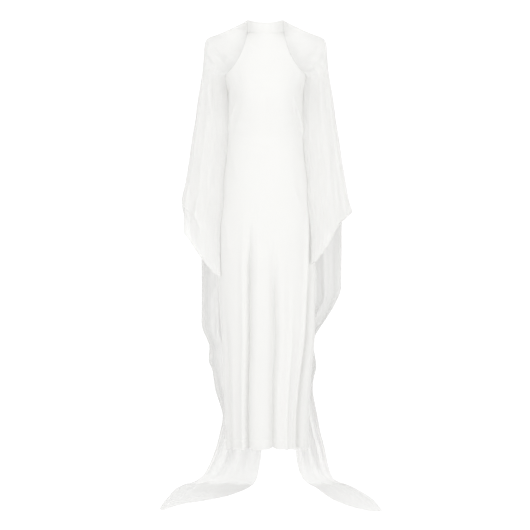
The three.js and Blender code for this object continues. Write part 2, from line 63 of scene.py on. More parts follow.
CREPE = 0.9             # thickness of the crepe
CHIFFON = 0.5           # thickness of the chiffon
COLLAR_BAND = 2.0       # thickness of the doubled collar
SEAM_GAP = 0.05         # gap between the cloth pieces at a seam
HEM_Z = -1458
HEM_LIFT = 16           # rise of the hem at the middle of the front
FLOOR_Z = -1620
COLLAR_HALF = 62.6      # from the middle of the neck to the collar's outside, at the sides
COLLAR_DEPTH = 60.1     # and at the front and back
FRONT_COLLAR_ANGLE = 78     # degrees from the front at which a front leaf meets the collar


def table(columns, rows):
    """Named columns of a table, each an array."""
    return {name: np.array([row[i] for row in rows], float) for i, name in enumerate(columns)}


def rows_of(columns, *names):
    """Rows of a table, with the named columns or with all of them."""
    return zip(*(columns[name] for name in names or columns))


# The column's outer sections on a general figure.
SECTIONS = table(["z", "half", "front", "back", "middle"], [
    [0, 61, 60, 60, 0],
    [-25, 92, 66, 78, 0],
    [-54, 122, 74, 91, 0],
    [-100, 146, 88, 104, 0],
    [-155, 147, 104, 112, 0],
    [-180, 141, 111, 114, 0],
    [-222, 132, 117, 114, 0],
    [-306, 135.5, 110, 106, 0],
    [-376, 138, 102, 102, 0],
    [-445, 144, 103, 108, 0],
    [-515, 154, 107, 116, 0],
    [-585, 162, 111, 120, 0],
    [-655, 169, 112, 120, 0],
    [-725, 172, 112, 118, 1],
    [-795, 171.5, 112, 116, 2],
    [-935, 168, 112, 114, 5],
    [-1075, 162.5, 112, 114, 9],
    [-1216, 154, 112, 115, 6],
    [-1357, 148, 113, 116, 5],
    [HEM_Z, 146, 114, 117, 6],
])

# Distance of the raglan and armhole edge from the middle, front and back alike.
RAGLAN = table(["z", "x"], [
    [0, 59.6],
    [-20, 66],
    [-54, 75],
    [-76, 83],
    [-100, 94],
    [-120, 106],
    [-134, 117],
    [-146, 129],
    [-155, 140],
    [-180, 137],
    [-205, 134],
    [-222, 132],
])
UNDERARM_Z = RAGLAN["z"][8]
SIDE_SEAM_Z = RAGLAN["z"][11]

# Long soft folds of the column: angle from the front at hip and hem, in degrees,
# half width and depth in mm (a negative depth is a trough), and where each fold starts and is full.
FOLDS = table(["hip", "hem", "width", "depth", "start", "full"], [
    [-162, -164, 15, -6, -760, -1150],
    [-128, -133, 13, -9, -680, -1000],
    [-60, -63, 14, -7, -900, -1250],
    [-18, -28, 10, -10, -600, -860],
    [9, 8, 13, -12, -660, -980],
    [33, 27, 15, 4, -800, -1200],
    [69, 47, 11, -11, -590, -840],
    [131, 127, 12, -10, -640, -960],
    [164, 160, 15, -7, -720, -1100],
])

# Top line of the shoulders and arms, where the two leaves of a wing are joined.
OVERARM = table(["z", "x", "y"], [
    [38, 64.1, 0],
    [25, 87, 2],
    [11, 117, 4],
    [-3, 148, 5],
    [-13, 174, 5],
    [-22, 197, 5],
    [-35, 208.5, 5],
    [-60, 212.5, 4],
    [-112, 216, 3],
    [-167, 223, 0],
    [-223, 233, 0],
    [-279, 240.5, -2],
    [-334, 248, -4],
    [-390, 258, -6],
    [-445, 265, -8],
    [-501, 273.5, -10],
    [-557, 285, -12],
    [-592, 291, -15],
    [-626, 301, -15],
])

# Free inner edge of a front leaf, from the end of the raglan seam down in front of the hip.
FREE_EDGE = table(["z", "x", "y"], [
    [-158, 141.5, -35.5],
    [-205, 133.5, -22.5],
    [-235, 130, -26],
    [-290, 129, -35.5],
    [-370, 130, -36.5],
    [-445, 136, -36.5],
    [-515, 145, -39],
    [-585, 146, -52],
    [-640, 154, -52],
    [-690, 160, -51],
    [-745, 162, -51],
    [-800, 161, -51],
    [-850, 159, -52],
])

# Sections of a front leaf. `seam` is a height on the overarm line and `edge` one on the inner edge.
# `reach` is how far the cloth swings forward off the arm, `lead` how far it runs on from the inner edge,
# and `turn` the direction in which it leaves a free edge, in degrees forward of sideways.
FRONT_LEAF = table(["seam", "edge", "reach", "lead", "turn"], [
    [38, 33, 6, 6, 0],
    [25, 18, 10, 8, 0],
    [11, 2, 16, 14, 0],
    [-3, -16, 22, 26, 0],
    [-13, -36, 28, 36, 0],
    [-22, -62, 34, 46, 0],
    [-35, -90, 40, 52, 0],
    [-60, -118, 46, 50, 0],
    [-90, -142, 50, 44, 0],
    [-130, -158, 54, 42, 4],
    [-176, -205, 56, 48, 8],
    [-240, -290, 58, 50, 6],
    [-310, -370, 60, 50, 6],
    [-380, -445, 60, 48, 6],
    [-450, -515, 58, 46, 8],
    [-520, -585, 54, 44, 10],
])

# Ends of the front leaves below the cuff: the outer edge, free from the cuff on, and the inner edge's height.
FRONT_END = {
    "left": table(["x", "y", "z", "edge", "reach", "lead", "turn"], [
        [291, -15, -592, -680, 46, 44, 10],
        [279, -27, -618, -720, 36, 40, 10],
        [283, -33, -650, -785, 28, 36, 8],
        [283, -35, -696, -850, 22, 30, 8],
    ]),
    "right": table(["x", "y", "z", "edge", "reach", "lead", "turn"], [
        [291, -15, -592, -655, 46, 44, 10],
        [301, -15, -626, -710, 36, 40, 10],
        [285, -24, -637, -760, 28, 36, 8],
        [268, -31, -645, -806, 22, 30, 8],
    ]),
}

# Sections of a back leaf down to the cuff. `back` and `fall` place its inner edge behind the body.
BACK_LEAF = table(["seam", "back", "fall", "left", "right"], [
    [38, 61.6, 37, 0.8, 0.8],
    [25, 78, 16, 1, 1],
    [11, 88, -6, 1.2, 1.2],
    [-3, 97, -30, 1.4, 1.5],
    [-13, 107, -60, 1.6, 1.8],
    [-22, 115, -90, 1.8, 2.2],
    [-35, 121, -120, 2, 2.8],
    [-60, 125, -150, 2.2, 3.5],
    [-90, 128, -185, 2.5, 4.5],
    [-130, 130, -225, 2.8, 6],
    [-176, 132, -272, 3.2, 8],
    [-240, 134, -335, 3.8, 10],
    [-310, 137, -405, 4.4, 13],
    [-380, 140, -475, 5, 16],
    [-450, 143, -545, 5.6, 19],
    [-520, 145, -612, 6.2, 23],
])

# Lower sections of the back leaves: outer edge (x, y, z), inner edge (ix, iy, iz),
# and how far the cloth swings out behind its outer edge.
BACK_END = {
    "left": table(["x", "y", "z", "ix", "iy", "iz", "reach"], [
        [291, -15, -592, 7, 147, -680, 76],
        [272, 20, -672, 8, 148, -750, 56],
        [238, 40, -743, 8, 148, -815, 46],
        [225, 50, -790, 9, 149, -860, 42],
        [225, 62, -880, 9, 149, -945, 36],
        [226, 70, -1020, 10, 150, -1080, 32],
        [208, 76, -1078, 11, 150, -1130, 30],
        [199, 81, -1108, 11, 150, -1160, 28],
        [202, 85, -1155, 11, 151, -1205, 28],
        [190, 91, -1190, 12, 151, -1240, 26],
        [180, 100, -1258, 12, 152, -1300, 24],
        [153, 118, -1361, 12, 153, -1395, 20],
        [163, 130, -1420, 13, 154, -1440, 16],
        [179, 144, -1482, 15, 156, -1490, 10],
        [203, 160, -1545, 22, 162, -1547, 6],
        [228, 171, -1588, 30, 171, -1588, 3],
        [260, 175, -1611, 39, 176, -1611, 0],
        [290, 161, FLOOR_Z, 48, 164, FLOOR_Z, 0],
        [311, 130, FLOOR_Z, 58, 130, FLOOR_Z, 0],
        [322, 86, FLOOR_Z, 75, 84, FLOOR_Z, 0],
        [330, 24, FLOOR_Z, 107, 21, FLOOR_Z, 0],
        [337, -40, FLOOR_Z, 148, -44, FLOOR_Z, 0],
        [345, -112, FLOOR_Z, 219, -112, FLOOR_Z, 0],
        [350, -174, FLOOR_Z, 289, -173, FLOOR_Z, 0],
        [354, -248, FLOOR_Z, 343, -260, FLOOR_Z, 0],
    ]),
    "right": table(["x", "y", "z", "ix", "iy", "iz", "reach"], [
        [291, -15, -592, 28, 147, -680, 76],
        [301, -15, -626, 31, 147, -715, 70],
        [271, 8, -647, 34, 148, -745, 60],
        [266, 16, -680, 36, 148, -775, 54],
        [267, 34, -770, 42, 149, -850, 48],
        [267, 52, -885, 50, 149, -955, 40],
        [244, 60, -955, 56, 150, -1015, 36],
        [211, 68, -1010, 60, 150, -1065, 32],
        [175, 79, -1072, 65, 151, -1125, 28],
        [171, 84, -1108, 68, 151, -1155, 26],
        [181, 92, -1176, 73, 152, -1210, 24],
        [173, 97, -1216, 77, 152, -1250, 24],
        [168, 103, -1262, 82, 152, -1295, 22],
        [186, 120, -1361, 95, 153, -1385, 18],
        [197, 133, -1421, 102, 154, -1435, 14],
        [213, 148, -1480, 110, 157, -1488, 8],
        [226, 162, -1545, 118, 163, -1547, 5],
        [240, 171, -1588, 131, 171, -1588, 2],
        [260, 175, -1611, 149, 176, -1611, 0],
        [288, 161, FLOOR_Z, 166, 163, FLOOR_Z, 0],
        [308, 124, FLOOR_Z, 180, 130, FLOOR_Z, 0],
        [323, 82, FLOOR_Z, 191, 88, FLOOR_Z, 0],
        [341, 22, FLOOR_Z, 205, 27, FLOOR_Z, 0],
        [360, -40, FLOOR_Z, 220, -36, FLOOR_Z, 0],
        [373, -112, FLOOR_Z, 242, -108, FLOOR_Z, 0],
        [381, -190, FLOOR_Z, 286, -200, FLOOR_Z, 0],
        [389, -268, FLOOR_Z, 352, -280, FLOOR_Z, 0],
    ]),
}

# Folds of the leaves, each a ridge or trough along the fall of the cloth: place across the leaf (0 at the
# outer edge, 1 at the inner), half width across, depth in mm, and stretch down the leaf.
FRONT_LEAF_FOLDS = table(["across", "width", "depth", "start", "end"], [
    [0.32, 0.090, 4, 0.45, 1.20],
    [0.55, 0.080, -4, 0.35, 1.20],
    [0.78, 0.070, 3, 0.55, 1.20],
])
BACK_LEAF_FOLDS = table(["across", "width", "depth", "start", "end"], [
    [0.17, 0.055, 5, 0.30, 0.90],
    [0.31, 0.060, -6, 0.22, 0.88],
    [0.45, 0.055, 12, 0.14, 0.92],
    [0.59, 0.050, -11, 0.20, 0.86],
    [0.73, 0.055, 10, 0.10, 0.90],
    [0.87, 0.045, -8, 0.18, 0.88],
])
# Low ripples that stay up off the floor.
TRAIN_RIPPLES = table(["across", "width", "height"], [
    [0.22, 0.09, 7],
    [0.50, 0.07, 9],
    [0.76, 0.08, 6],
])

# ---------------------------------------------------------------- curves through tables


def smooth(xs, ys):
    """Monotone cubic through the points (xs, ys); it never overshoots a row."""
    xs, ys = np.asarray(xs, float), np.asarray(ys, float)
    slope = np.diff(ys) / np.diff(xs)
    a, b = slope[:-1], slope[1:]
    same = a * b > 0
    inner = np.where(same, 2 * a * b / np.where(same, a + b, 1), 0)
    tangent = np.concatenate([slope[:1], inner, slope[-1:]])

    def curve(x):
        x = np.asarray(x, float)
        i = np.clip(np.searchsorted(xs, x, side="right") - 1, 0, len(xs) - 2)
        h = xs[i + 1] - xs[i]
        t = np.clip((x - xs[i]) / h, 0, 1)
        s = 1 - t
        y = s * s * (1 + 2 * t) * ys[i] + t * t * (3 - 2 * t) * ys[i + 1]
        y = y + h * t * s * (s * tangent[i] - t * tangent[i + 1])
        return y + tangent[0] * np.minimum(x - xs[0], 0) + tangent[-1] * np.maximum(x - xs[-1], 0)

    return curve


def by_height(rows, column):
    down = smooth(-rows["z"], rows[column])
    return lambda z: down(-np.asarray(z, float))


def ease(start, end, x):
    t = np.clip((x - start) / (end - start), 0, 1)
    return t * t * (3 - 2 * t)


def bell(x):
    return np.exp(-x * x)


def mix(a, b, t):
    return a + (b - a) * t


def joined(x, y, z):
    """Points from their coordinates, each a number or an array."""
    return np.stack(np.broadcast_arrays(*(np.asarray(part, float) for part in (x, y, z))), -1)


def unit(vectors):
    return vectors / np.maximum(np.linalg.norm(vectors, axis=-1, keepdims=True), 1e-9)


# ---------------------------------------------------------------- form of the column

half = by_height(SECTIONS, "half")
front_depth = by_height(SECTIONS, "front")
back_depth = by_height(SECTIONS, "back")
middle = by_height(SECTIONS, "middle")
raglan_x = by_height(RAGLAN, "x")

BUST = {"x": 72, "z": -236, "radius": 52, "height": 9}
BUST_FADE = 0.5         # cosine of the angle from the middle of the front at which the bust is full
NECK_TILT = 12
TILT_FADE_Z = -140
HEM_LIFT_Z = -1100
HEM_RIPPLE = 0.3        # share of a fold's depth by which the hem rises or falls with it
FOLD_SHOULDER = 0.35    # share of a fold's depth that its two shoulders have
SHOULDER_AT = 2.1       # place of the shoulders, in half widths from the fold
DRIFT_Z = -560          # from here down the folds move from their hip angle to their hem angle
MEAN_RADIUS = 140

lines = sorted([(-180, -180), (-90, -90), (90, 90), (180, 180), *rows_of(FOLDS, "hip", "hem")])
hem_angle = smooth([hip * DEG for hip, _ in lines], [hem * DEG for _, hem in lines])


def edge_angle(z):
    """Angle of the raglan edge, or of the side seam below it, from the middle of the front."""
    return np.where(z <= SIDE_SEAM_Z, QUARTER, np.arcsin(np.clip(raglan_x(z) / half(z), -1, 1)))


def fold_depth(line, z, folds):
    depth = np.zeros(np.broadcast(line, z).shape)
    for hip, _, width, deep, start, full in rows_of(folds):
        away = (line - hip * DEG) * MEAN_RADIUS / width
        shoulders = bell(away - SHOULDER_AT) + bell(away + SHOULDER_AT)
        depth = depth + ease(start, full, z) * deep * (bell(away) - FOLD_SHOULDER * shoulders)
    return depth


def column_point(line, height, folds=FOLDS):
    """Points of the column's outside on the lines that start at these angles from the middle of the front."""
    angle = mix(line, hem_angle(line), ease(DRIFT_Z, HEM_Z, height))
    c, s = np.cos(angle), np.sin(angle)
    wide = half(height)
    depth = np.where(c > 0, front_depth(height), back_depth(height))
    fold = fold_depth(line, height, folds)
    outward = unit(joined(s * depth, -c * wide, 0))
    from_bust = np.hypot(np.abs(wide * s) - BUST["x"], height - BUST["z"]) / BUST["radius"]
    bust = np.where(c > 0, BUST["height"] * bell(from_bust), 0) * ease(0, BUST_FADE, c)
    tilt = -NECK_TILT * c * ease(TILT_FADE_Z, 0, height)
    lift = (HEM_LIFT * np.maximum(0, c) - HEM_RIPPLE * fold) * ease(HEM_LIFT_Z, HEM_Z, height)
    base = joined(middle(height) + wide * s, -depth * c - bust, height + tilt + lift)
    return base + outward * fold[..., None]


# ---------------------------------------------------------------- form of the wings

overarm_x = by_height(OVERARM, "x")
overarm_y = by_height(OVERARM, "y")
free_x = by_height(FREE_EDGE, "x")
free_y = by_height(FREE_EDGE, "y")

ELLIPSE = 0.5523        # reach of a Bezier handle that makes a quarter of an ellipse
STEP = 1e-4             # step across and down a leaf for its normals
EDGE_STEP = 0.01        # step round the column, in radians, for the direction along it
TUCK = 3.6              # how far a wing's free edge curls in to the hip
TUCK_ASIDE, TUCK_BACK = 0.8, 0.6    # shares of the tuck sideways and backwards
TUCK_START, TUCK_FULL = -540, -680
FOLD_IN, FOLD_OUT = 0.22, 0.16      # shares of a leaf's length in which a fold starts and ends
FOLD_FLOOR = 140        # folds fade out this far above the floor
FRONT_FADE, BACK_FADE = 0.3, 0.15   # shares of the width in which folds fade towards the overarm line
BACK_DROP = 0.1         # share of a back leaf's fall that is left in front of its inner edge
RIPPLE_FLOOR = 60       # ripples start this far above the floor
RIPPLE_END = 0.9        # and fade out from here to the tip


def overarm(z):
    """A point on the line where the two leaves of a wing are joined."""
    return joined(overarm_x(z), overarm_y(z), z)


def ring_point(angle, z, grow=0.0):
    """A point on the collar's outside at this angle from the middle of the front, or off it by `grow`."""
    return joined((COLLAR_HALF + grow) * np.sin(angle), -(COLLAR_DEPTH + grow) * np.cos(angle), z)


def front_edge(z, turn):
    """Inner edge of a front leaf, and the direction in which the cloth leaves it."""
    if z > 0:
        angle = FRONT_COLLAR_ANGLE * DEG
        return ring_point(angle, z, SEAM_GAP + CHIFFON), unit(ring_point(angle + QUARTER, 0))
    if z >= UNDERARM_Z:
        angle = edge_angle(z) + SEAM_GAP / half(z)
        return column_point(angle, z), unit(column_point(angle + EDGE_STEP, z) - column_point(angle, z))
    tuck = TUCK * ease(TUCK_START, TUCK_FULL, z)
    point = joined(free_x(z) - TUCK_ASIDE * tuck, free_y(z) + TUCK_BACK * tuck, z)
    return point, joined(np.cos(turn * DEG), -np.sin(turn * DEG), 0)


def loft(sections):
    """Surface through sections down a leaf, each with four Bezier points across it."""
    sections = np.array(sections)
    at = np.linspace(0, 1, len(sections))
    curves = [[smooth(at, sections[:, k, axis]) for axis in range(3)] for k in range(4)]

    def surface(u, v):
        w = 1 - u
        share = (w ** 3, 3 * w * w * u, 3 * w * u * u, u ** 3)
        return np.stack([sum(s * curve[axis](v) for s, curve in zip(share, curves)) for axis in range(3)], -1)

    return surface


def normal_of(surface, u, v, side):
    across = surface(u + STEP, v) - surface(u - STEP, v)
    along = surface(u, v + STEP) - surface(u, v - STEP)
    return side * unit(np.cross(across, along))


def folded(base, folds, side, edge_fade):
    """Adds folds to a leaf along its normal; they fade out at the overarm line and near the floor."""

    def surface(u, v):
        depth = np.zeros(np.broadcast(u, v).shape)
        for across, width, deep, start, end in rows_of(folds):
            length = ease(start, start + FOLD_IN, v) * (1 - ease(end - FOLD_OUT, end, v))
            depth = depth + deep * bell((u - across) / width) * length
        point = base(u, v)
        upright = ease(FLOOR_Z, FLOOR_Z + FOLD_FLOOR, point[..., 2])
        return point + normal_of(base, u, v, side) * (depth * upright * ease(0, edge_fade, u))[..., None]

    return surface


def front_leaf(name, folds):
    hanging = [(overarm(seam), *rest) for seam, *rest in rows_of(FRONT_LEAF)]
    foot = [(joined(x, y, z), *rest) for x, y, z, *rest in rows_of(FRONT_END[name])]
    sections = []
    for outer, edge, reach, lead, turn in hanging + foot:
        point, away = front_edge(edge, turn)
        seam = outer - joined(0, SEAM_GAP / 2, 0)
        sections.append([seam, seam - joined(0, reach, 0), point + away * lead, point])
    return folded(loft(sections), folds, -1, FRONT_FADE)


def back_leaf(name, folds):
    hanging = [(overarm(seam), joined(inner, back, fall), (back - overarm_y(seam)) * ELLIPSE)
               for seam, back, fall, inner in rows_of(BACK_LEAF, "seam", "back", "fall", name)]
    foot = [(joined(*row[:3]), joined(*row[3:6]), row[6]) for row in rows_of(BACK_END[name])]
    sections = []
    for outer, inner, reach in hanging + foot:
        seam = outer + joined(0, SEAM_GAP / 2, 0)
        lead = joined((outer[0] - inner[0]) * ELLIPSE, 0, (outer[2] - inner[2]) * BACK_DROP)
        sections.append([seam, seam + joined(0, reach, 0), inner + lead, inner])
    hung = folded(loft(sections), folds, 1, BACK_FADE)

    def surface(u, v):
        point = hung(u, v)
        lying = (1 - ease(FLOOR_Z, FLOOR_Z + RIPPLE_FLOOR, point[..., 2])) * (1 - ease(RIPPLE_END, 1, v))
        for across, width, height in rows_of(TRAIN_RIPPLES):
            point[..., 2] += height * lying * bell((u - across) / width)
        return point

    return surface


# ---------------------------------------------------------------- cloth detail, on top of the cut

# Crisp creases in the long folds of the column, and shallow ones between them.
CREPE_CREASES = table(["hip", "hem", "width", "depth", "start", "full"], [
    [-162, -164, 6, -1.6, -800, -1200], [-128, -133, 5, -2.4, -720, -1000],
    [-104, -104, 9, 1.6, -840, -1200], [-76, -76, 8, -2.2, -620, -900], [-60, -63, 5, -1.6, -900, -1250],
    [-44, -46, 8, 1.4, -980, -1300], [-24, -24, 8, 1.4, -700, -1000], [-18, -28, 4, -3, -620, -800],
    [-5, -5, 9, 1.2, -900, -1350], [9, 8, 6, -3.6, -690, -900], [21, 21, 8, -1.2, -1000, -1350],
    [33, 27, 7, 1.8, -820, -1200], [58, 58, 8, 1.6, -560, -760], [69, 47, 4, -3.6, -800, -960],
    [84, 84, 8, -1.4, -700, -1100], [110, 110, 8, 1.2, -900, -1300], [131, 127, 5, -2.8, -660, -900],
    [148, 148, 8, 1.2, -760, -1200], [164, 160, 6, -1.8, -760, -1100],
])

# Creases that follow no seam: from (x0, z0) to (x1, z1), with the bow of their middle,
# half width and depth in mm (a negative depth is a trough).
CREASES = ["x0", "z0", "x1", "z1", "bow", "width", "depth"]
FRONT_CREASES = table(CREASES, [
    [130, -384, 92, -232, 3, 1.6, -2], [135, -376, 98, -236, 3, 4.6, 4.2],
    [120, -386, 82, -226, 3, 6.5, -2.2], [104, -300, 96, -226, 0, 4, 2],
    [-128, -372, -92, -238, -3, 1.6, -1.6], [-133, -368, -98, -240, -3, 5, 2.6],
    [-118, -360, -84, -240, -3, 7, -1.6], [-124, -246, -114, -192, -2, 3.6, 3.2],
    [-131, -232, -127, -170, 2, 4, -3.4], [128, -226, 124, -168, -2, 4.5, -2.4],
    [-100, -132, -84, -200, 3, 10, -1.6], [108, -140, 92, -196, -3, 9, -1.4],
    [-122, -300, -58, -322, 3, 9, -1.2], [-124, -334, -74, -350, -3, 8, 1.1],
    [120, -318, 66, -342, -4, 10, -1.1], [-60, -400, 22, -412, 3, 12, -0.7],
    [-112, -420, -96, -520, 4, 10, 1.2], [104, -430, 118, -560, -5, 12, -1.4],
    [-50, -40, -30, -66, 2, 8, -0.8], [44, -36, 30, -70, -2, 8, -0.8], [-38, -590, -30, -700, 3, 9, -1.2],
    [96, -520, 138, -640, 6, 9, 2], [-140, -620, -120, -800, 4, 12, 1.6],
])
BACK_CREASES = {
    "left": table(CREASES, [
        [-120, -330, -40, -352, 5, 9, -0.9], [-112, -352, -30, -366, -4, 7, 0.8],
        [-96, -296, -24, -320, 4, 10, -0.6], [-134, -170, -112, -236, -4, 7, -1.5],
        [-60, -420, -30, -520, 3, 12, -0.8], [-118, -500, -96, -640, 4, 12, 0.9],
        [-40, -60, -22, -120, 2, 9, -0.6],
    ]),
    "right": table(CREASES, [
        [122, -322, 46, -338, -4, 8, -0.8], [108, -346, 26, -372, 5, 9, 0.7],
        [92, -300, 30, -306, -3, 9, -0.6], [134, -172, 116, -240, 4, 7, -1.3],
        [72, -430, 50, -560, -3, 12, -0.8], [36, -52, 24, -110, -2, 9, -0.5],
    ]),
}
FRONT_LEAF_CREASES = {
    "left": table(CREASES, [
        [-150, -76, -110, -106, 2, 4.6, -1.8], [-146, -107, -108, -82, -2, 4.6, -1.6],
        [-138, -70, -98, -96, 1, 5.6, 1.2], [-204, -60, -150, -134, 7, 9, -5],
        [-188, -48, -132, -122, 5, 8, 3.2], [-120, -60, -86, -88, 2, 7, -0.7],
        [-90, -30, -78, -92, 2, 6, -0.5], [-214, -120, -196, -330, 5, 9, 1.8],
        [-196, -140, -176, -360, 4, 7, -1.8], [-176, -150, -168, -400, 3, 6, 1.6],
        [-226, -250, -224, -520, 6, 9, -2.2], [-200, -330, -208, -600, 4, 8, 1.8],
        [-250, -380, -262, -610, 5, 8, 1.8], [-178, -400, -186, -640, 4, 8, -2],
        [-232, -560, -246, -690, 4, 5, -2.4], [-246, -640, -222, -712, -4, 4, -2.6],
        [-238, -600, -262, -664, 3, 5, 2.2],
    ]),
    "right": table(CREASES, [
        [198, -62, 154, -128, -6, 9, -4.4], [184, -46, 140, -108, -5, 8, 2.8],
        [96, -40, 84, -96, -2, 5, -0.9], [124, -66, 98, -96, 2, 6, -1], [212, -110, 206, -300, -5, 8, 1.8],
        [192, -130, 186, -380, -4, 7, -1.8], [172, -150, 170, -380, -3, 6, 1.4],
        [232, -240, 240, -480, -6, 9, 2], [214, -300, 216, -590, -4, 8, -2],
        [262, -400, 276, -600, -5, 8, -1.8], [184, -400, 190, -640, -3, 8, 1.8],
        [244, -520, 250, -680, -4, 7, -2],
    ]),
}
BACK_LEAF_CREASES = {
    "left": table(CREASES, [
        [-180, -20, -60, -110, 12, 16, -3], [-196, -50, -80, -190, 16, 16, 2.4],
        [-120, 0, -26, -40, 6, 12, -1.6], [-166, -850, -198, -950, 4, 6, -4.5],
        [-172, -990, -174, -1130, 2, 5, -4.5], [-186, -1110, -176, -1250, -5, 7, -3],
        [-170, -1180, -150, -1330, 4, 8, 2.4], [-134, -1470, -150, -1560, 5, 7, 5],
        [-110, -1452, -122, -1570, 5, 7, -4], [-62, -1455, -70, -1560, 3, 8, -3.2],
    ]),
    "right": table(CREASES, [
        [176, -16, 56, -96, -10, 15, -2.8], [200, -60, 90, -210, -15, 16, 2.4],
        [110, 2, 30, -36, -6, 12, -1.6], [206, -900, 180, -1060, -5, 8, -2.6],
        [212, -740, 207, -1090, 0, 18, -5.5], [183, -760, 181, -1080, 0, 16, 6],
        [166, -1180, 170, -1320, 4, 8, 2.2], [146, -1440, 168, -1560, -5, 7, 3],
        [156, -1450, 190, -1580, -6, 6, -5.5], [186, -1460, 208, -1580, -4, 8, 3.4],
    ]),
}

# Finer folds between the ones of the cut: place across the leaf, half width, depth, and stretch down it.
FINE_FRONT_FOLDS = table(["across", "width", "depth", "start", "end"], [
    [0.16, 0.034, 1.1, 0.30, 0.95], [0.24, 0.028, -0.9, 0.36, 1.20], [0.42, 0.034, 1.2, 0.32, 1.10],
    [0.49, 0.026, -0.9, 0.50, 1.20], [0.64, 0.032, 1.1, 0.28, 1.15], [0.71, 0.024, -0.8, 0.40, 1.20],
    [0.86, 0.030, -1.1, 0.34, 1.10], [0.93, 0.022, 0.9, 0.46, 1.20],
])
FINE_BACK_FOLDS = table(["across", "width", "depth", "start", "end"], [
    [0.09, 0.026, 1.8, 0.46, 1.02], [0.13, 0.022, -1.4, 0.52, 0.92], [0.23, 0.026, -1.6, 0.16, 0.78],
    [0.27, 0.020, 1.2, 0.40, 0.98], [0.38, 0.024, 3.2, 0.12, 0.94], [0.52, 0.018, -2.6, 0.30, 0.98],
    [0.55, 0.020, 2.4, 0.56, 0.96], [0.66, 0.022, -3.2, 0.14, 0.86], [0.70, 0.016, 2.2, 0.50, 0.98],
    [0.80, 0.022, 3, 0.22, 0.92], [0.93, 0.020, 2.6, 0.12, 0.90], [0.97, 0.014, -1.6, 0.30, 0.86],
])

# Slow unevenness of hung cloth: waves per metre across and down, their turn and their height in mm.
UNEVEN = table(["across", "down", "turn", "height"], [
    [3.1, 1.3, 0.4, 0.34],
    [-4.7, 2.2, 1.9, 0.28],
    [7.9, -1.7, 3.1, 0.20],
    [5.3, 4.9, 4.4, 0.16],
    [-11.3, 3.7, 0.9, 0.12],
    [13.7, 6.1, 2.6, 0.09],
])
# Where those waves start on each piece, so that no two pieces hang alike.
UNEVEN_START = {
    "gown_front": 0.0,
    "gown_back_left": 0.3,
    "gown_back_right": 2.3,
    "sleeve_front_left_chiffon": 2.9,
    "sleeve_front_right_chiffon": 7.1,
    "sleeve_back_left_chiffon": 1.9,
    "sleeve_back_right_chiffon": 6.1,
}

CREASE_IN, CREASE_OUT = (-0.12, 0.35), (0.6, 1.15)      # shares of a crease in which it starts and ends
SEWN_FADE = 12          # creases fade out this close to a seam
SEAM_ROLL = 0.15        # how far the cloth turns in at a seam
SEAM_ROLL_WIDTH = 1.8
HEM_TURN = 32           # depth of the crepe's turned hem
HEM_RIDGE = 0.45        # depth of the line along its stitches
HEM_RIDGE_WIDTH = 2.5
HEM_SWELL = 0.27        # how far the doubled cloth of the hem stands out
HEM_STEP = 3            # and how wide the step up to it is


def together(*tables):
    """One table from several with the same columns."""
    return {name: np.concatenate([t[name] for t in tables]) for name in tables[0]}


def normals(points, side):
    """Unit normals of a grid of points."""
    across = np.gradient(points, axis=1)
    down = np.gradient(points, axis=0)
    return side * unit(np.cross(across, down))


def run(points, axis):
    """Length along the cloth from the first point of each row (axis 1) or column (axis 0)."""
    steps = np.linalg.norm(np.diff(points, axis=axis), axis=-1)
    lead = np.zeros_like(steps.take([0], axis=axis))
    return np.concatenate([lead, np.cumsum(steps, axis=axis)], axis=axis)


def crease_depth(points, creases):
    x, z = points[..., 0], points[..., 2]
    depth = np.zeros(x.shape)
    for x0, z0, x1, z1, bow, width, deep in rows_of(creases):
        dx, dz = x1 - x0, z1 - z0
        length = np.hypot(dx, dz)
        t = ((x - x0) * dx + (z - z0) * dz) / length ** 2
        inside = np.clip(t, 0, 1)
        away = ((x - x0) * dz - (z - z0) * dx) / length - bow * 4 * inside * (1 - inside)
        depth = depth + deep * bell(away / width) * ease(*CREASE_IN, t) * (1 - ease(*CREASE_OUT, t))
    return depth


def uneven_depth(points, start):
    x, z = points[..., 0] * MM, points[..., 2] * MM
    return sum(height * np.sin(TURN * (across * x + down * z) + turn + start)
               for across, down, turn, height in rows_of(UNEVEN))


def dressed(points, side, creases, sewn, start, hem=0.0):
    """Adds creases, slow unevenness, the roll of the cloth into its seams and the line of a turned hem.

    `sewn` names the edges that are seams: first, last and top.
    """
    across, down = run(points, 1), run(points, 0)
    above_foot = down[-1:] - down
    depth = crease_depth(points, creases) + uneven_depth(points, start)
    roll = 0
    for name, distance in (("first", across), ("last", across[:, -1:] - across), ("top", down)):
        if name in sewn:
            depth = depth * ease(0, SEWN_FADE, distance)
            roll = roll + SEAM_ROLL * bell(distance / SEAM_ROLL_WIDTH)
    if hem:
        depth = depth - HEM_RIDGE * bell((above_foot - hem) / HEM_RIDGE_WIDTH)
        depth = depth + HEM_SWELL * (1 - ease(hem - HEM_STEP, hem, above_foot))
    return points + normals(points, side) * (depth - roll)[..., None]


# ---------------------------------------------------------------- finishes


def put(tree, kind, settings=None, sockets=None):
    """A new node: its settings first, then the values or links of its sockets."""
    made = tree.nodes.new(kind)
    for key, value in (settings or {}).items():
        setattr(made, key, value)
    for key, value in (sockets or {}).items():
        if isinstance(value, Tone):
            value = value.socket
        if isinstance(value, bpy.types.NodeSocket):
            tree.links.new(value, made.inputs[key])
        else:
            made.inputs[key].default_value = value
    return made


class Tone:
    """A value in a finish, which can be used in sums."""

    def __init__(self, finish, socket):
        self.finish, self.socket = finish, socket

    def sum(self, operation, a, b):
        return self.finish.node("ShaderNodeMath", {"operation": operation}, {0: a, 1: b})

    def __add__(self, other):
        return self.sum("ADD", self, other)

    def __radd__(self, other):
        return self.sum("ADD", other, self)

    def __mul__(self, other):
        return self.sum("MULTIPLY", self, other)

    def __rmul__(self, other):
        return self.sum("MULTIPLY", other, self)


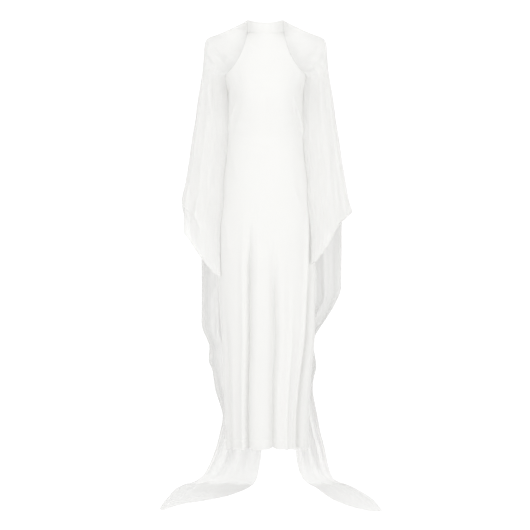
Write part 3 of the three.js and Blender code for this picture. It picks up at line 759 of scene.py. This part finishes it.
class Finish:
    """A material made of nodes."""

    def __init__(self, name):
        self.material = bpy.data.materials.new(name)
        self.material.use_nodes = True
        self.tree = self.material.node_tree
        self.tree.nodes.clear()

    def node(self, kind, settings=None, sockets=None, out=0):
        made = put(self.tree, kind, settings, sockets)
        return Tone(self, made.outputs[out]) if len(made.outputs) else made

    def place(self, cut_out):
        """Places in metres: along the cut of a piece of cloth, or the object's own on small trim."""
        if cut_out:
            return self.node("ShaderNodeUVMap", {"uv_map": "cloth"})
        return self.node("ShaderNodeTexCoord", out="Object")

    def stretched(self, where, across, down):
        return self.node("ShaderNodeMapping", None, {"Vector": where, "Scale": (across, down, 1)})

    def noise(self, where, scale, detail=2.0, roughness=0.5):
        return self.node("ShaderNodeTexNoise", None, {
            "Vector": where, "Scale": scale, "Detail": detail, "Roughness": roughness})

    def blend(self, share, low, high):
        """A colour between two; a Mix node has its colours at 6 and 7, and their blend at output 2."""
        return self.node(
            "ShaderNodeMix", {"data_type": "RGBA"}, {0: share, 6: (*low, 1), 7: (*high, 1)}, out=2)

    def mixed(self, share, first, second):
        return self.node("ShaderNodeMixShader", None, {0: share, 1: first, 2: second})

    def woven(self, colour, roughness, relief, specular, sheen, glow):
        """Cloth with a relief (strength, depth, height), a sheen (weight, roughness) and light through it."""
        strength, depth, height = relief
        weight, sheen_roughness = sheen
        bump = self.node("ShaderNodeBump", None, {"Strength": strength, "Distance": depth, "Height": height})
        surface = self.node("ShaderNodeBsdfPrincipled", None, {
            "Base Color": colour, "Roughness": roughness, "Normal": bump, "Specular IOR Level": specular,
            "Sheen Weight": weight, "Sheen Roughness": sheen_roughness})
        return self.mixed(glow, surface, self.node("ShaderNodeBsdfTranslucent", None, {"Color": colour}))

    def finish(self, shader):
        self.node("ShaderNodeOutputMaterial", None, {"Surface": shader})
        return self.material


CREPE_PALE, CREPE_DEEP = (0.816, 0.814, 0.798), (0.794, 0.792, 0.776)
CHIFFON_PALE, CHIFFON_DEEP = (0.945, 0.944, 0.936), (0.915, 0.914, 0.906)
CREPE_GRAIN = 1150      # pebbles of the crepe in a metre
CREPE_YARN = (2600, 240)    # scale of the yarns across and down the cloth
CHIFFON_WEAVE = 520     # scale of the bands that make threads 0.6 mm apart
CHIFFON_SLUB = (60, 700)
SLOW_CREPE, SLOW_CHIFFON = 9, 7     # scale of the slow change of tone
CREPE_GLOW = 0.10       # share of the light that comes through the cloth
CHIFFON_GLOW = 0.50
CHIFFON_COVER = 0.54    # least share of the chiffon that is thread and not gap


def crepe_finish(name, cut_out=False):
    f = Finish(name)
    place = f.place(cut_out)
    pebble = f.noise(place, CREPE_GRAIN, 3.0, 0.6)
    yarn = f.noise(f.stretched(place, *CREPE_YARN), 1.0)
    slow = f.noise(place, SLOW_CREPE, 3.0)
    colour = f.blend(0.6 * slow + 0.4 * pebble, CREPE_DEEP, CREPE_PALE)
    relief = (0.5, 0.25 * MM, 0.7 * pebble + 0.3 * yarn)
    return f.finish(f.woven(colour, 0.52 + 0.16 * pebble, relief, 0.35, (0.12, 0.4), CREPE_GLOW))


def chiffon_finish(name, cut_out=False):
    f = Finish(name)
    place = f.place(cut_out)
    threads = {"Vector": place, "Scale": CHIFFON_WEAVE, "Distortion": 0.6, "Detail": 1.0, "Detail Scale": 3.0}
    warp, weft = (f.node("ShaderNodeTexWave", {"bands_direction": way}, threads, out="Fac") for way in "XY")
    weave = 0.5 * warp + 0.5 * weft
    slub = f.noise(f.stretched(place, *CHIFFON_SLUB), 1.0, 3.0)
    slow = f.noise(place, SLOW_CHIFFON, 3.0)
    colour = f.blend(0.7 * slow + 0.3 * slub, CHIFFON_DEEP, CHIFFON_PALE)
    relief = (0.35, 0.2 * MM, weave)
    thread = f.woven(colour, 0.66 + 0.14 * weave, relief, 0.25, (0.15, 0.5), CHIFFON_GLOW)
    gap = f.node("ShaderNodeBsdfTransparent", None, {"Color": (1, 1, 1, 1)})
    return f.finish(f.mixed(CHIFFON_COVER + 0.18 * weave + 0.06 * slub, gap, thread))


matte_crepe = crepe_finish("matte crepe", cut_out=True)
cover_crepe = crepe_finish("button crepe")
edge_crepe = crepe_finish("crepe edge")
sheer_chiffon = chiffon_finish("sheer chiffon", cut_out=True)
edge_chiffon = chiffon_finish("rolled chiffon")

# ---------------------------------------------------------------- meshes

RIM_ANGLE = 50 * DEG
pieces = {}
cloth = {}              # each piece of cloth's dressed points, outer side and thickness


def linked(name, data):
    made = bpy.data.objects.new(name, data)
    bpy.context.collection.objects.link(made)
    return made


def mesh_piece(name, points, faces, finish, cloth_map=None):
    """An object at the origin from points in mm."""
    mesh = bpy.data.meshes.new(name)
    mesh.from_pydata((points.reshape(-1, 3) * MM).tolist(), [], faces)
    mesh.polygons.foreach_set("use_smooth", [True] * len(mesh.polygons))
    if cloth_map is not None:
        layer = mesh.uv_layers.new(name="cloth")
        corner = np.zeros(len(mesh.loops), dtype=np.int32)
        mesh.loops.foreach_get("vertex_index", corner)
        layer.uv.foreach_set("vector", (cloth_map.reshape(-1, 2) * MM)[corner].ravel())
    mesh.update()
    mesh.set_sharp_from_angle(angle=RIM_ANGLE)
    mesh.materials.append(finish)
    pieces[name] = linked(name, mesh)


def cloth_piece(name, points, thickness, finish, side, creases, sewn, hem=0.0):
    """A closed thin wall behind a grid of points on the cloth's outside."""
    points = dressed(points, side, creases, sewn, UNEVEN_START[name], hem)
    tall, wide, _ = points.shape
    inner = points - normals(points, side) * thickness
    count = tall * wide
    index = np.arange(count).reshape(tall, wide)
    a, b, c, d = (g.ravel() for g in (index[:-1, :-1], index[:-1, 1:], index[1:, 1:], index[1:, :-1]))
    outside = np.stack([a, b, c, d], -1)
    inside = np.stack([a, d, c, b], -1) + count
    rim = np.concatenate([index[0, :-1], index[:-1, -1], index[-1, :0:-1], index[:0:-1, 0]])
    after = np.roll(rim, -1)
    faces = np.concatenate([outside, inside, np.stack([after, rim, rim + count, after + count], -1)])
    if side < 0:
        faces = faces[:, ::-1]
    across, down = run(points, 1), run(points, 0)
    flat = np.stack(np.broadcast_arrays(across - across[:, -1:] / 2, -down[:, wide // 2][:, None]), -1)
    mesh_piece(name, np.stack([points, inner]), faces.tolist(), finish, np.stack([flat, flat]))
    cloth[name] = points, side, thickness


def ring_faces(rows, columns):
    """Faces between rings of points, each ring a row."""
    index = np.arange(rows * columns).reshape(rows, columns)
    after = np.roll(index, -1, axis=1)
    return np.stack([index[:-1], index[1:], after[1:], after[:-1]], -1).reshape(-1, 4).tolist()


def closed_faces(rows, columns):
    """The same, with a face at each end."""
    last = np.arange((rows - 1) * columns, rows * columns)
    return ring_faces(rows, columns) + [list(range(columns)), last[::-1].tolist()]


# ---------------------------------------------------------------- the column

# Rows of the column, closer together where the cut is curved and at the turned hem.
ROW_SPANS = [(0, -60, 16), (-60, -250, 52), (-250, -640, 62), (-640, -1400, 74), (-1400, HEM_Z, 26)]
FRONT_COLUMNS = 180
BACK_COLUMNS = 96

heights = np.concatenate(
    [np.linspace(start, end, count, endpoint=False) for start, end, count in ROW_SPANS] + [[HEM_Z]])[:, None]
seam_angle = SEAM_GAP / 2 / half(heights)
column_folds = together(FOLDS, CREPE_CREASES)


def panel(name, line, side, creases):
    points = column_point(line, heights, column_folds)
    cloth_piece(name, points, CREPE, matte_crepe, side, creases, ("first", "last", "top"), HEM_TURN)


panel("gown_front", np.linspace(-1, 1, FRONT_COLUMNS) * (edge_angle(heights) - seam_angle), -1, FRONT_CREASES)
back_line = mix(HALF_TURN - edge_angle(heights) + seam_angle, HALF_TURN - seam_angle,
                np.linspace(0, 1, BACK_COLUMNS))
for name, sign in SIDES.items():
    panel("gown_back_" + name, sign * back_line, -sign, BACK_CREASES[name])

# ---------------------------------------------------------------- the wings

LEAF_COLUMNS = {"front": 96, "back": 132}
LEAF_ROWS = {"front": 200, "back": 300}
LEAVES = {
    "front": (front_leaf, together(FRONT_LEAF_FOLDS, FINE_FRONT_FOLDS), FRONT_LEAF_CREASES, -1),
    "back": (back_leaf, together(BACK_LEAF_FOLDS, FINE_BACK_FOLDS), BACK_LEAF_CREASES, 1),
}
for name, sign in SIDES.items():
    for part, (leaf, folds, creases, outer_side) in LEAVES.items():
        u = np.linspace(0, 1, LEAF_COLUMNS[part])[None, :]
        v = np.linspace(0, 1, LEAF_ROWS[part])[:, None]
        points = leaf(name, folds)(u, v) * np.array([sign, 1, 1])
        cloth_piece(f"sleeve_{part}_{name}_chiffon", points, CHIFFON, sheer_chiffon, outer_side * sign,
                    creases[name], ("first", "top"))

# ---------------------------------------------------------------- the collar

COLLAR_OPENING = 0.6
COLLAR_RISE = 31.5      # height of the band's top at the sides, before the peak
COLLAR_DIP = 7.5        # the top is this much lower at the front and higher at the back
COLLAR_PEAK = 8         # rise of the top at both sides
COLLAR_CROWN = 0.5      # how far the band bows out between its edges
COLLAR_STATIONS = 260
BAND_EDGE_RINGS = 8
BAND_FACE_RINGS = 9
# Soft buckles of the band: angle from the front in degrees, half width in degrees, and depth.
BUCKLES = table(["angle", "width", "depth"], [
    [-118, 12, -0.7], [-82, 7, 0.6], [-58, 6, -0.7], [-30, 12, 0.4], [-9, 9, -0.3], [16, 10, 0.35],
    [41, 6, -0.5], [63, 6, -0.7], [92, 9, 0.6], [125, 11, -0.7], [152, 8, 0.4], [-150, 9, 0.4],
])


def collar_top(angle):
    return COLLAR_RISE - COLLAR_DIP * np.cos(angle) + COLLAR_PEAK * np.sin(angle) ** 2


def collar_piece():
    """A doubled band: outside up, over a rounded fold at the top, and down inside."""
    limit = HALF_TURN - COLLAR_OPENING / 2 / COLLAR_HALF
    angle = np.linspace(-limit, limit, COLLAR_STATIONS)[:, None]
    rise = np.linspace(0, 1, BAND_FACE_RINGS)
    turn = np.linspace(0, HALF_TURN, BAND_EDGE_RINGS + 2)[1:-1]
    radius = COLLAR_BAND / 2
    foot, top = SEAM_GAP - NECK_TILT * np.cos(angle), collar_top(angle) - radius
    height = np.concatenate([mix(foot, top, rise), top + radius * np.sin(turn), mix(top, foot, rise)], 1)
    inward = np.concatenate([
        np.zeros(BAND_FACE_RINGS), radius * (1 - np.cos(turn)), np.full(BAND_FACE_RINGS, COLLAR_BAND)])
    share = (height - foot) / (top - foot)
    buckle = sum(depth * bell((angle / DEG - at) / wide) for at, wide, depth in rows_of(BUCKLES))
    crown = COLLAR_CROWN * np.sin(HALF_TURN * np.clip(share, 0, 1))
    points = ring_point(angle, height, crown + buckle * ease(0, 0.5, share) - inward)
    flat = np.stack(np.broadcast_arrays(angle * COLLAR_HALF, run(points, 1)), -1)
    mesh_piece("collar_band", points, closed_faces(*points.shape[:2]), matte_crepe, flat)


collar_piece()

# ---------------------------------------------------------------- buttons

BUTTON_RADIUS = 4.4
BUTTON_HEIGHT = 3.4
BUTTON_HEIGHTS = {"upper": 30, "lower": 19}
BUTTON_ANGLE = 183.4
BUTTON_GAP = 0.3        # from the collar to the back of a button
BUTTON_SIDES = 64
BUTTON_RINGS = 18
BUTTON_PLEATS = 16
PLEAT_DEPTH = 0.018
RIM = 0.22              # share of the rings that are under the rim
RIM_RISE = 0.30         # height of the rim, and radius of the back, as shares of the button's
BACK_RADIUS = 0.78
POLE_RADIUS = 0.004


def button_piece(name, height):
    """A cloth-covered dome on the band's outside, its cover gathered in small pleats under the rim."""
    t = np.linspace(0, 1, BUTTON_RINGS)[:, None]
    around = np.linspace(0, TURN, BUTTON_SIDES, endpoint=False)[None, :]
    under = np.clip(t / RIM, 0, 1)
    over = np.clip((t - RIM) / (1 - RIM), 0, 1)
    radius = np.where(t < RIM, mix(BACK_RADIUS, 1, np.sin(QUARTER * under)), np.cos(QUARTER * over))
    rise = np.where(t < RIM, RIM_RISE * under, mix(RIM_RISE, 1, np.sin(QUARTER * over)))
    pleat = 1 + PLEAT_DEPTH * np.cos(BUTTON_PLEATS * around) * (1 - ease(0.2, 0.6, t))
    out = BUTTON_RADIUS * np.maximum(radius, POLE_RADIUS) * pleat
    x, y = out * np.cos(around), BUTTON_HEIGHT * rise
    turn = BUTTON_ANGLE * DEG - HALF_TURN
    c, s = np.cos(turn), np.sin(turn)
    points = joined(x * c - y * s, x * s + y * c, out * np.sin(around))
    points = points + ring_point(BUTTON_ANGLE * DEG, height, BUTTON_GAP)
    mesh_piece(name, points, closed_faces(BUTTON_RINGS, BUTTON_SIDES), cover_crepe)


for which, height in BUTTON_HEIGHTS.items():
    button_piece("covered_button_" + which, height)

# ---------------------------------------------------------------- edges and stitches, along their paths


class Pattern:
    """A node tree that is run along a path; its sizes and its finish are named inputs."""

    def __init__(self, name, *sizes):
        self.tree = bpy.data.node_groups.new(name, "GeometryNodeTree")
        inputs = [("Path", "Geometry"), *((size, "Float") for size in sizes), ("Finish", "Material")]
        for socket, kind in inputs:
            self.tree.interface.new_socket(socket, in_out="INPUT", socket_type="NodeSocket" + kind)
        self.tree.interface.new_socket("Piece", in_out="OUTPUT", socket_type="NodeSocketGeometry")
        self.given = self.tree.nodes.new("NodeGroupInput").outputs
        path = self.node("GeometryNodeMeshToCurve", {"Mesh": self.given["Path"]})
        self.evenly = self.node("GeometryNodeResampleCurve", {
            "Curve": path, "Length": self.given[sizes[0]]}, {"mode": "LENGTH"})

    def node(self, kind, sockets=None, settings=None):
        return put(self.tree, kind, settings, sockets).outputs[0]

    def ended(self, source):
        rounded = self.node("GeometryNodeSetShadeSmooth", {"Geometry": source})
        real = self.node("GeometryNodeRealizeInstances", {"Geometry": rounded})
        piece = self.node("GeometryNodeSetMaterial", {"Geometry": real, "Material": self.given["Finish"]})
        put(self.tree, "NodeGroupOutput", None, {"Piece": piece})
        return self.tree


def rolled_pattern():
    """A round edge along a path: a rolled hem or a rouleau loop."""
    p = Pattern("rolled edge", "Step", "Radius")
    ring = p.node("GeometryNodeCurvePrimitiveCircle", {"Resolution": 8, "Radius": p.given["Radius"]})
    return p.ended(p.node("GeometryNodeCurveToMesh", {
        "Curve": p.evenly, "Profile Curve": ring, "Fill Caps": True}))


def stitch_pattern():
    """A row of stitches along a path."""
    p = Pattern("stitches", "Pitch", "Length", "Thread")
    facing = p.node("FunctionNodeAlignRotationToVector", {
        "Vector": p.node("GeometryNodeInputTangent")}, {"axis": "X"})
    bead = p.node("GeometryNodeMeshUVSphere", {"Segments": 6, "Rings": 4, "Radius": 0.5})
    size = p.node("ShaderNodeCombineXYZ", {
        "X": p.given["Length"], "Y": p.given["Thread"], "Z": p.given["Thread"]})
    row = p.node("GeometryNodeInstanceOnPoints", {
        "Points": p.evenly, "Instance": bead, "Rotation": facing, "Scale": size})
    return p.ended(p.node("GeometryNodeRealizeInstances", {"Geometry": row}))


def along_path(name, paths, tree, sizes, finish):
    """Runs a tree on one or more paths of points in mm, and keeps the result as a plain mesh."""
    points, edges = [], []
    for path in paths:
        start = len(points)
        points += (path * MM).tolist()
        edges += [(start + i, start + i + 1) for i in range(len(path) - 1)]
    source = bpy.data.meshes.new(name + "_path")
    source.from_pydata(points, edges, [])
    carrier = linked(name + "_path", source)
    modifier = carrier.modifiers.new("along", "NODES")
    modifier.node_group = tree
    for item in tree.interface.items_tree:
        if item.name in sizes:
            modifier[item.identifier] = sizes[item.name] * MM
        elif item.name == "Finish":
            modifier[item.identifier] = finish
    mesh = bpy.data.meshes.new_from_object(carrier.evaluated_get(bpy.context.evaluated_depsgraph_get()))
    carrier.modifiers.clear()
    bpy.data.objects.remove(carrier)
    mesh.name = name
    pieces[name] = linked(name, mesh)


rolled_edge = rolled_pattern()
stitches = stitch_pattern()
THREAD = 0.35
HEM_STITCH = {"Pitch": 9, "Length": 1.4, "Thread": THREAD}
COLLAR_STITCH = {"Pitch": 3.2, "Length": 2.2, "Thread": THREAD}
COLLAR_STITCH_DROP = 3.4            # from the band's top
COLLAR_STITCH_END = 0.03            # angle left free at the opening
STITCH_LIFT = 0.02                  # of a hem's stitches off the cloth
ROLLED_RADIUS = 0.65
ROLLED_STEP = {"front": 3, "back": 4}


def line_of(name, row=None, column=None, lift=None):
    """One row or column of a piece's points, lifted off its outside or in the middle of its thickness."""
    points, side, thickness = cloth[name]
    moved = points + normals(points, side) * (-thickness / 2 if lift is None else lift)
    return moved[:, column] if row is None else moved[row]


def row_at(name, distance):
    """Number of the row that lies this far above the foot, along the middle column."""
    points = cloth[name][0]
    down = run(points, 0)[:, points.shape[1] // 2]
    return int(np.argmin(np.abs(down[-1] - down - distance)))


def hem_path(name, cuff_row, free_row):
    """The hemmed edge of a leaf: down from the cuff, along the foot and up the inner edge."""
    outer, foot, inner = line_of(name, column=0), line_of(name, row=-1), line_of(name, column=-1)
    return np.concatenate([outer[cuff_row:], foot[1:], inner[free_row:-1][::-1]])


underarm = np.count_nonzero(FRONT_LEAF["edge"] > UNDERARM_Z)
for name in SIDES:
    for part, hanging, foot, free_from in (
            ("front", FRONT_LEAF, FRONT_END[name], underarm), ("back", BACK_LEAF, BACK_END[name], 0)):
        cuff = len(hanging["seam"])
        rows_a_section = (LEAF_ROWS[part] - 1) / (cuff + len(foot["x"]) - 1)
        path = hem_path(f"sleeve_{part}_{name}_chiffon", int(cuff * rows_a_section),
                        int(np.ceil(free_from * rows_a_section)))
        along_path(f"sleeve_{part}_{name}_rolled_hem", [path], rolled_edge,
                   {"Radius": ROLLED_RADIUS, "Step": ROLLED_STEP[part]}, edge_chiffon)

for name in ("front", "back_left", "back_right"):
    path = line_of("gown_" + name, row=row_at("gown_" + name, HEM_TURN), lift=STITCH_LIFT)[2:-2]
    along_path(f"hem_{name}_stitches", [path], stitches, HEM_STITCH, edge_crepe)

angle = np.linspace(-1, 1, 300) * (HALF_TURN - COLLAR_STITCH_END)
collar_path = ring_point(angle, collar_top(angle) - COLLAR_STITCH_DROP, THREAD)
along_path("collar_stitches", [collar_path], stitches, COLLAR_STITCH, edge_crepe)

LOOP = {"Radius": 0.75, "Step": 0.8}
LOOP_EASE = 0.5         # from a button's rim to the middle of its loop
LOOP_ROOT = 0.07        # angle from the centre back to the loop's ends
LOOP_GATHER = 1.6       # each end is sewn this much nearer to the other than the loop is wide
LOOP_LIFT = 1.15        # of the loop's middle off the band


def loop_path(height):
    """From one end of a loop round its button to the other end."""
    centre, reach = BUTTON_ANGLE * DEG, BUTTON_RADIUS + LOOP_EASE
    around = np.linspace(-QUARTER, QUARTER, 24)
    share = np.linspace(0, 1, 8)[:-1]
    lead = mix(HALF_TURN - LOOP_ROOT, centre, share)
    gather = LOOP_GATHER * (1 - share)
    low, high = height - reach + gather, height + reach - gather[::-1]
    at = np.concatenate([lead, centre + reach / COLLAR_HALF * np.cos(around), lead[::-1]])
    up = np.concatenate([low, height + reach * np.sin(around), high])
    return ring_point(at, up, LOOP_LIFT)


loops = [loop_path(height) for height in BUTTON_HEIGHTS.values()]
along_path("button_loops", loops, rolled_edge, LOOP, edge_crepe)

# ---------------------------------------------------------------- bodies, solids and cloth sizes

for name, piece in pieces.items():
    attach(piece, "root")

# Width, length and area of each cut in metres.
GOWN_CUTS = {"front": (0.47, 1.47, 0.61), "back_left": (0.235, 1.47, 0.30), "back_right": (0.235, 1.47, 0.30)}
SLEEVE_CUTS = {
    "front": {"left": (0.20, 0.90, 0.118), "right": (0.20, 0.86, 0.113)},
    "back": {"left": (0.42, 2.15, 0.53), "right": (0.42, 2.15, 0.477)},
}
COLUMN_BANDS = ("bodice", "hips", "skirt")
LEAF_LENGTHS = {"front": ("upper", "lower"), "back": ("upper", "lower", "train")}


def declare(solids):
    """Hides the solids that a piece of cloth replaces."""
    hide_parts(*solids)


for name, cut in GOWN_CUTS.items():
    declare([f"{name}_{band}" for band in COLUMN_BANDS])
declare(["collar"])
for part, rests_on in (("front", ["collar_band", "gown_front"]), ("back", ["collar_band"])):
    for name, cut in SLEEVE_CUTS[part].items():
        leaf = f"sleeve_{part}_{name}"
        declare([f"{leaf}_{length}" for length in LEAF_LENGTHS[part]])
for which in BUTTON_HEIGHTS:
    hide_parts("button_" + which)

# ---------------------------------------------------------------- floor, light and camera, in metres

LOWEST = cad_box[0][2] - 0.0006
BOUNCE_DROP = 0.002     # of the sheet that lights the cloth, under the floor that is seen
FLOOR_HALF = 30.0
DOME_RADIUS = 29.0
DOME_SIDES = 48
DOME_RINGS = 25
AMBIENT = 0.77          # even white light from all round


def stage_sheet(name, points, faces, base, glow, seen, lights_cloth):
    """A white sheet of the studio that glows; it is either seen or lights the cloth."""
    mesh = bpy.data.meshes.new(name)
    mesh.from_pydata(points, [], faces)
    paper = Finish(name)
    mesh.materials.append(paper.finish(paper.node("ShaderNodeBsdfPrincipled", None, {
        "Base Color": (base, base, base, 1), "Roughness": 0.9, "Specular IOR Level": 0.0,
        "Emission Color": (1, 1, 1, 1), "Emission Strength": glow})))
    sheet = linked(name, mesh)
    sheet.visible_camera = seen
    sheet.visible_diffuse = sheet.visible_transmission = sheet.visible_shadow = lights_cloth


def level(z):
    """Corners of a floor at this height."""
    return [(x * FLOOR_HALF, y * FLOOR_HALF, z) for x, y in ((-1, -1), (1, -1), (1, 1), (-1, 1))]


def dome_points():
    """Rings of a dome all round, so that the dress stands before white from every side."""
    around = np.linspace(0, TURN, DOME_SIDES, endpoint=False)
    tilt = np.linspace(-QUARTER, QUARTER, DOME_RINGS)[:, None]
    points = DOME_RADIUS * joined(np.cos(tilt) * np.cos(around), np.cos(tilt) * np.sin(around), np.sin(tilt))
    return points.reshape(-1, 3).tolist()


# The floor and the dome are drawn pure white; a duller sheet under the floor gives the light from below.
stage_sheet("studio_floor", level(LOWEST), [(0, 1, 2, 3)], 0.10, 1.0, True, False)
stage_sheet("studio_bounce", level(LOWEST - BOUNCE_DROP), [(0, 1, 2, 3)], 0.30, 0.58, False, True)
stage_sheet("studio_dome", dome_points(), ring_faces(DOME_RINGS, DOME_SIDES), 0.10, 1.0, True, False)

world = bpy.data.worlds.new("studio")
bpy.context.scene.world = world
world.use_nodes = True
air = world.node_tree.nodes["Background"]
air.inputs["Color"].default_value = (1, 1, 1, 1)
air.inputs["Strength"].default_value = AMBIENT


def aimed(thing, place, aim):
    """Puts a lamp or the camera at a place and turns it towards another."""
    thing.location = place
    thing.rotation_euler = (Vector(aim) - Vector(place)).to_track_quat("-Z", "Y").to_euler()


def lamp(name, kind, power):
    light = bpy.data.lights.new(name, kind)
    light.energy = power
    made = linked(name, light)
    made.visible_camera = False
    return made


def softbox(name, size, power, place, aim):
    box = lamp("softbox_" + name, "AREA", power)
    box.data.shape = "SQUARE"
    box.data.size = size
    aimed(box, place, aim)


softbox("left", 3.0, 64, (-3.4, -3.0, -0.2), (0, 0, -0.8))
softbox("right", 3.0, 68, (3.4, -3.0, -0.2), (0, 0, -0.8))
softbox("front", 2.0, 8, (0.2, -4.4, 0.3), (0, 0, -0.6))
softbox("top", 3.0, 30, (0, -0.8, 3.6), (0, 0, 0))
softbox("back", 4.0, 46, (0, 5.0, -0.6), (0, 0, -0.9))
# A weak light under each shoulder stands for what the thin sleeves let through.
for sign in SIDES.values():
    fill = lamp("shoulder_fill", "POINT", 0.039)
    fill.data.shadow_soft_size = 0.02
    fill.location = (sign * 0.095, 0.02, -0.055)

CAMERA_X = -0.00175
CAMERA_AWAY = 5.0
CAMERA_Z = -0.6
AIM_Z = -0.812
camera = linked("camera", bpy.data.cameras.new("camera"))
camera.data.lens = 97.12
camera.data.sensor_width = 36
camera.data.clip_end = 100
aimed(camera, (CAMERA_X, -CAMERA_AWAY, CAMERA_Z), (CAMERA_X, 0, AIM_Z))
bpy.context.scene.camera = camera
bpy.context.scene.view_settings.view_transform = "Standard"
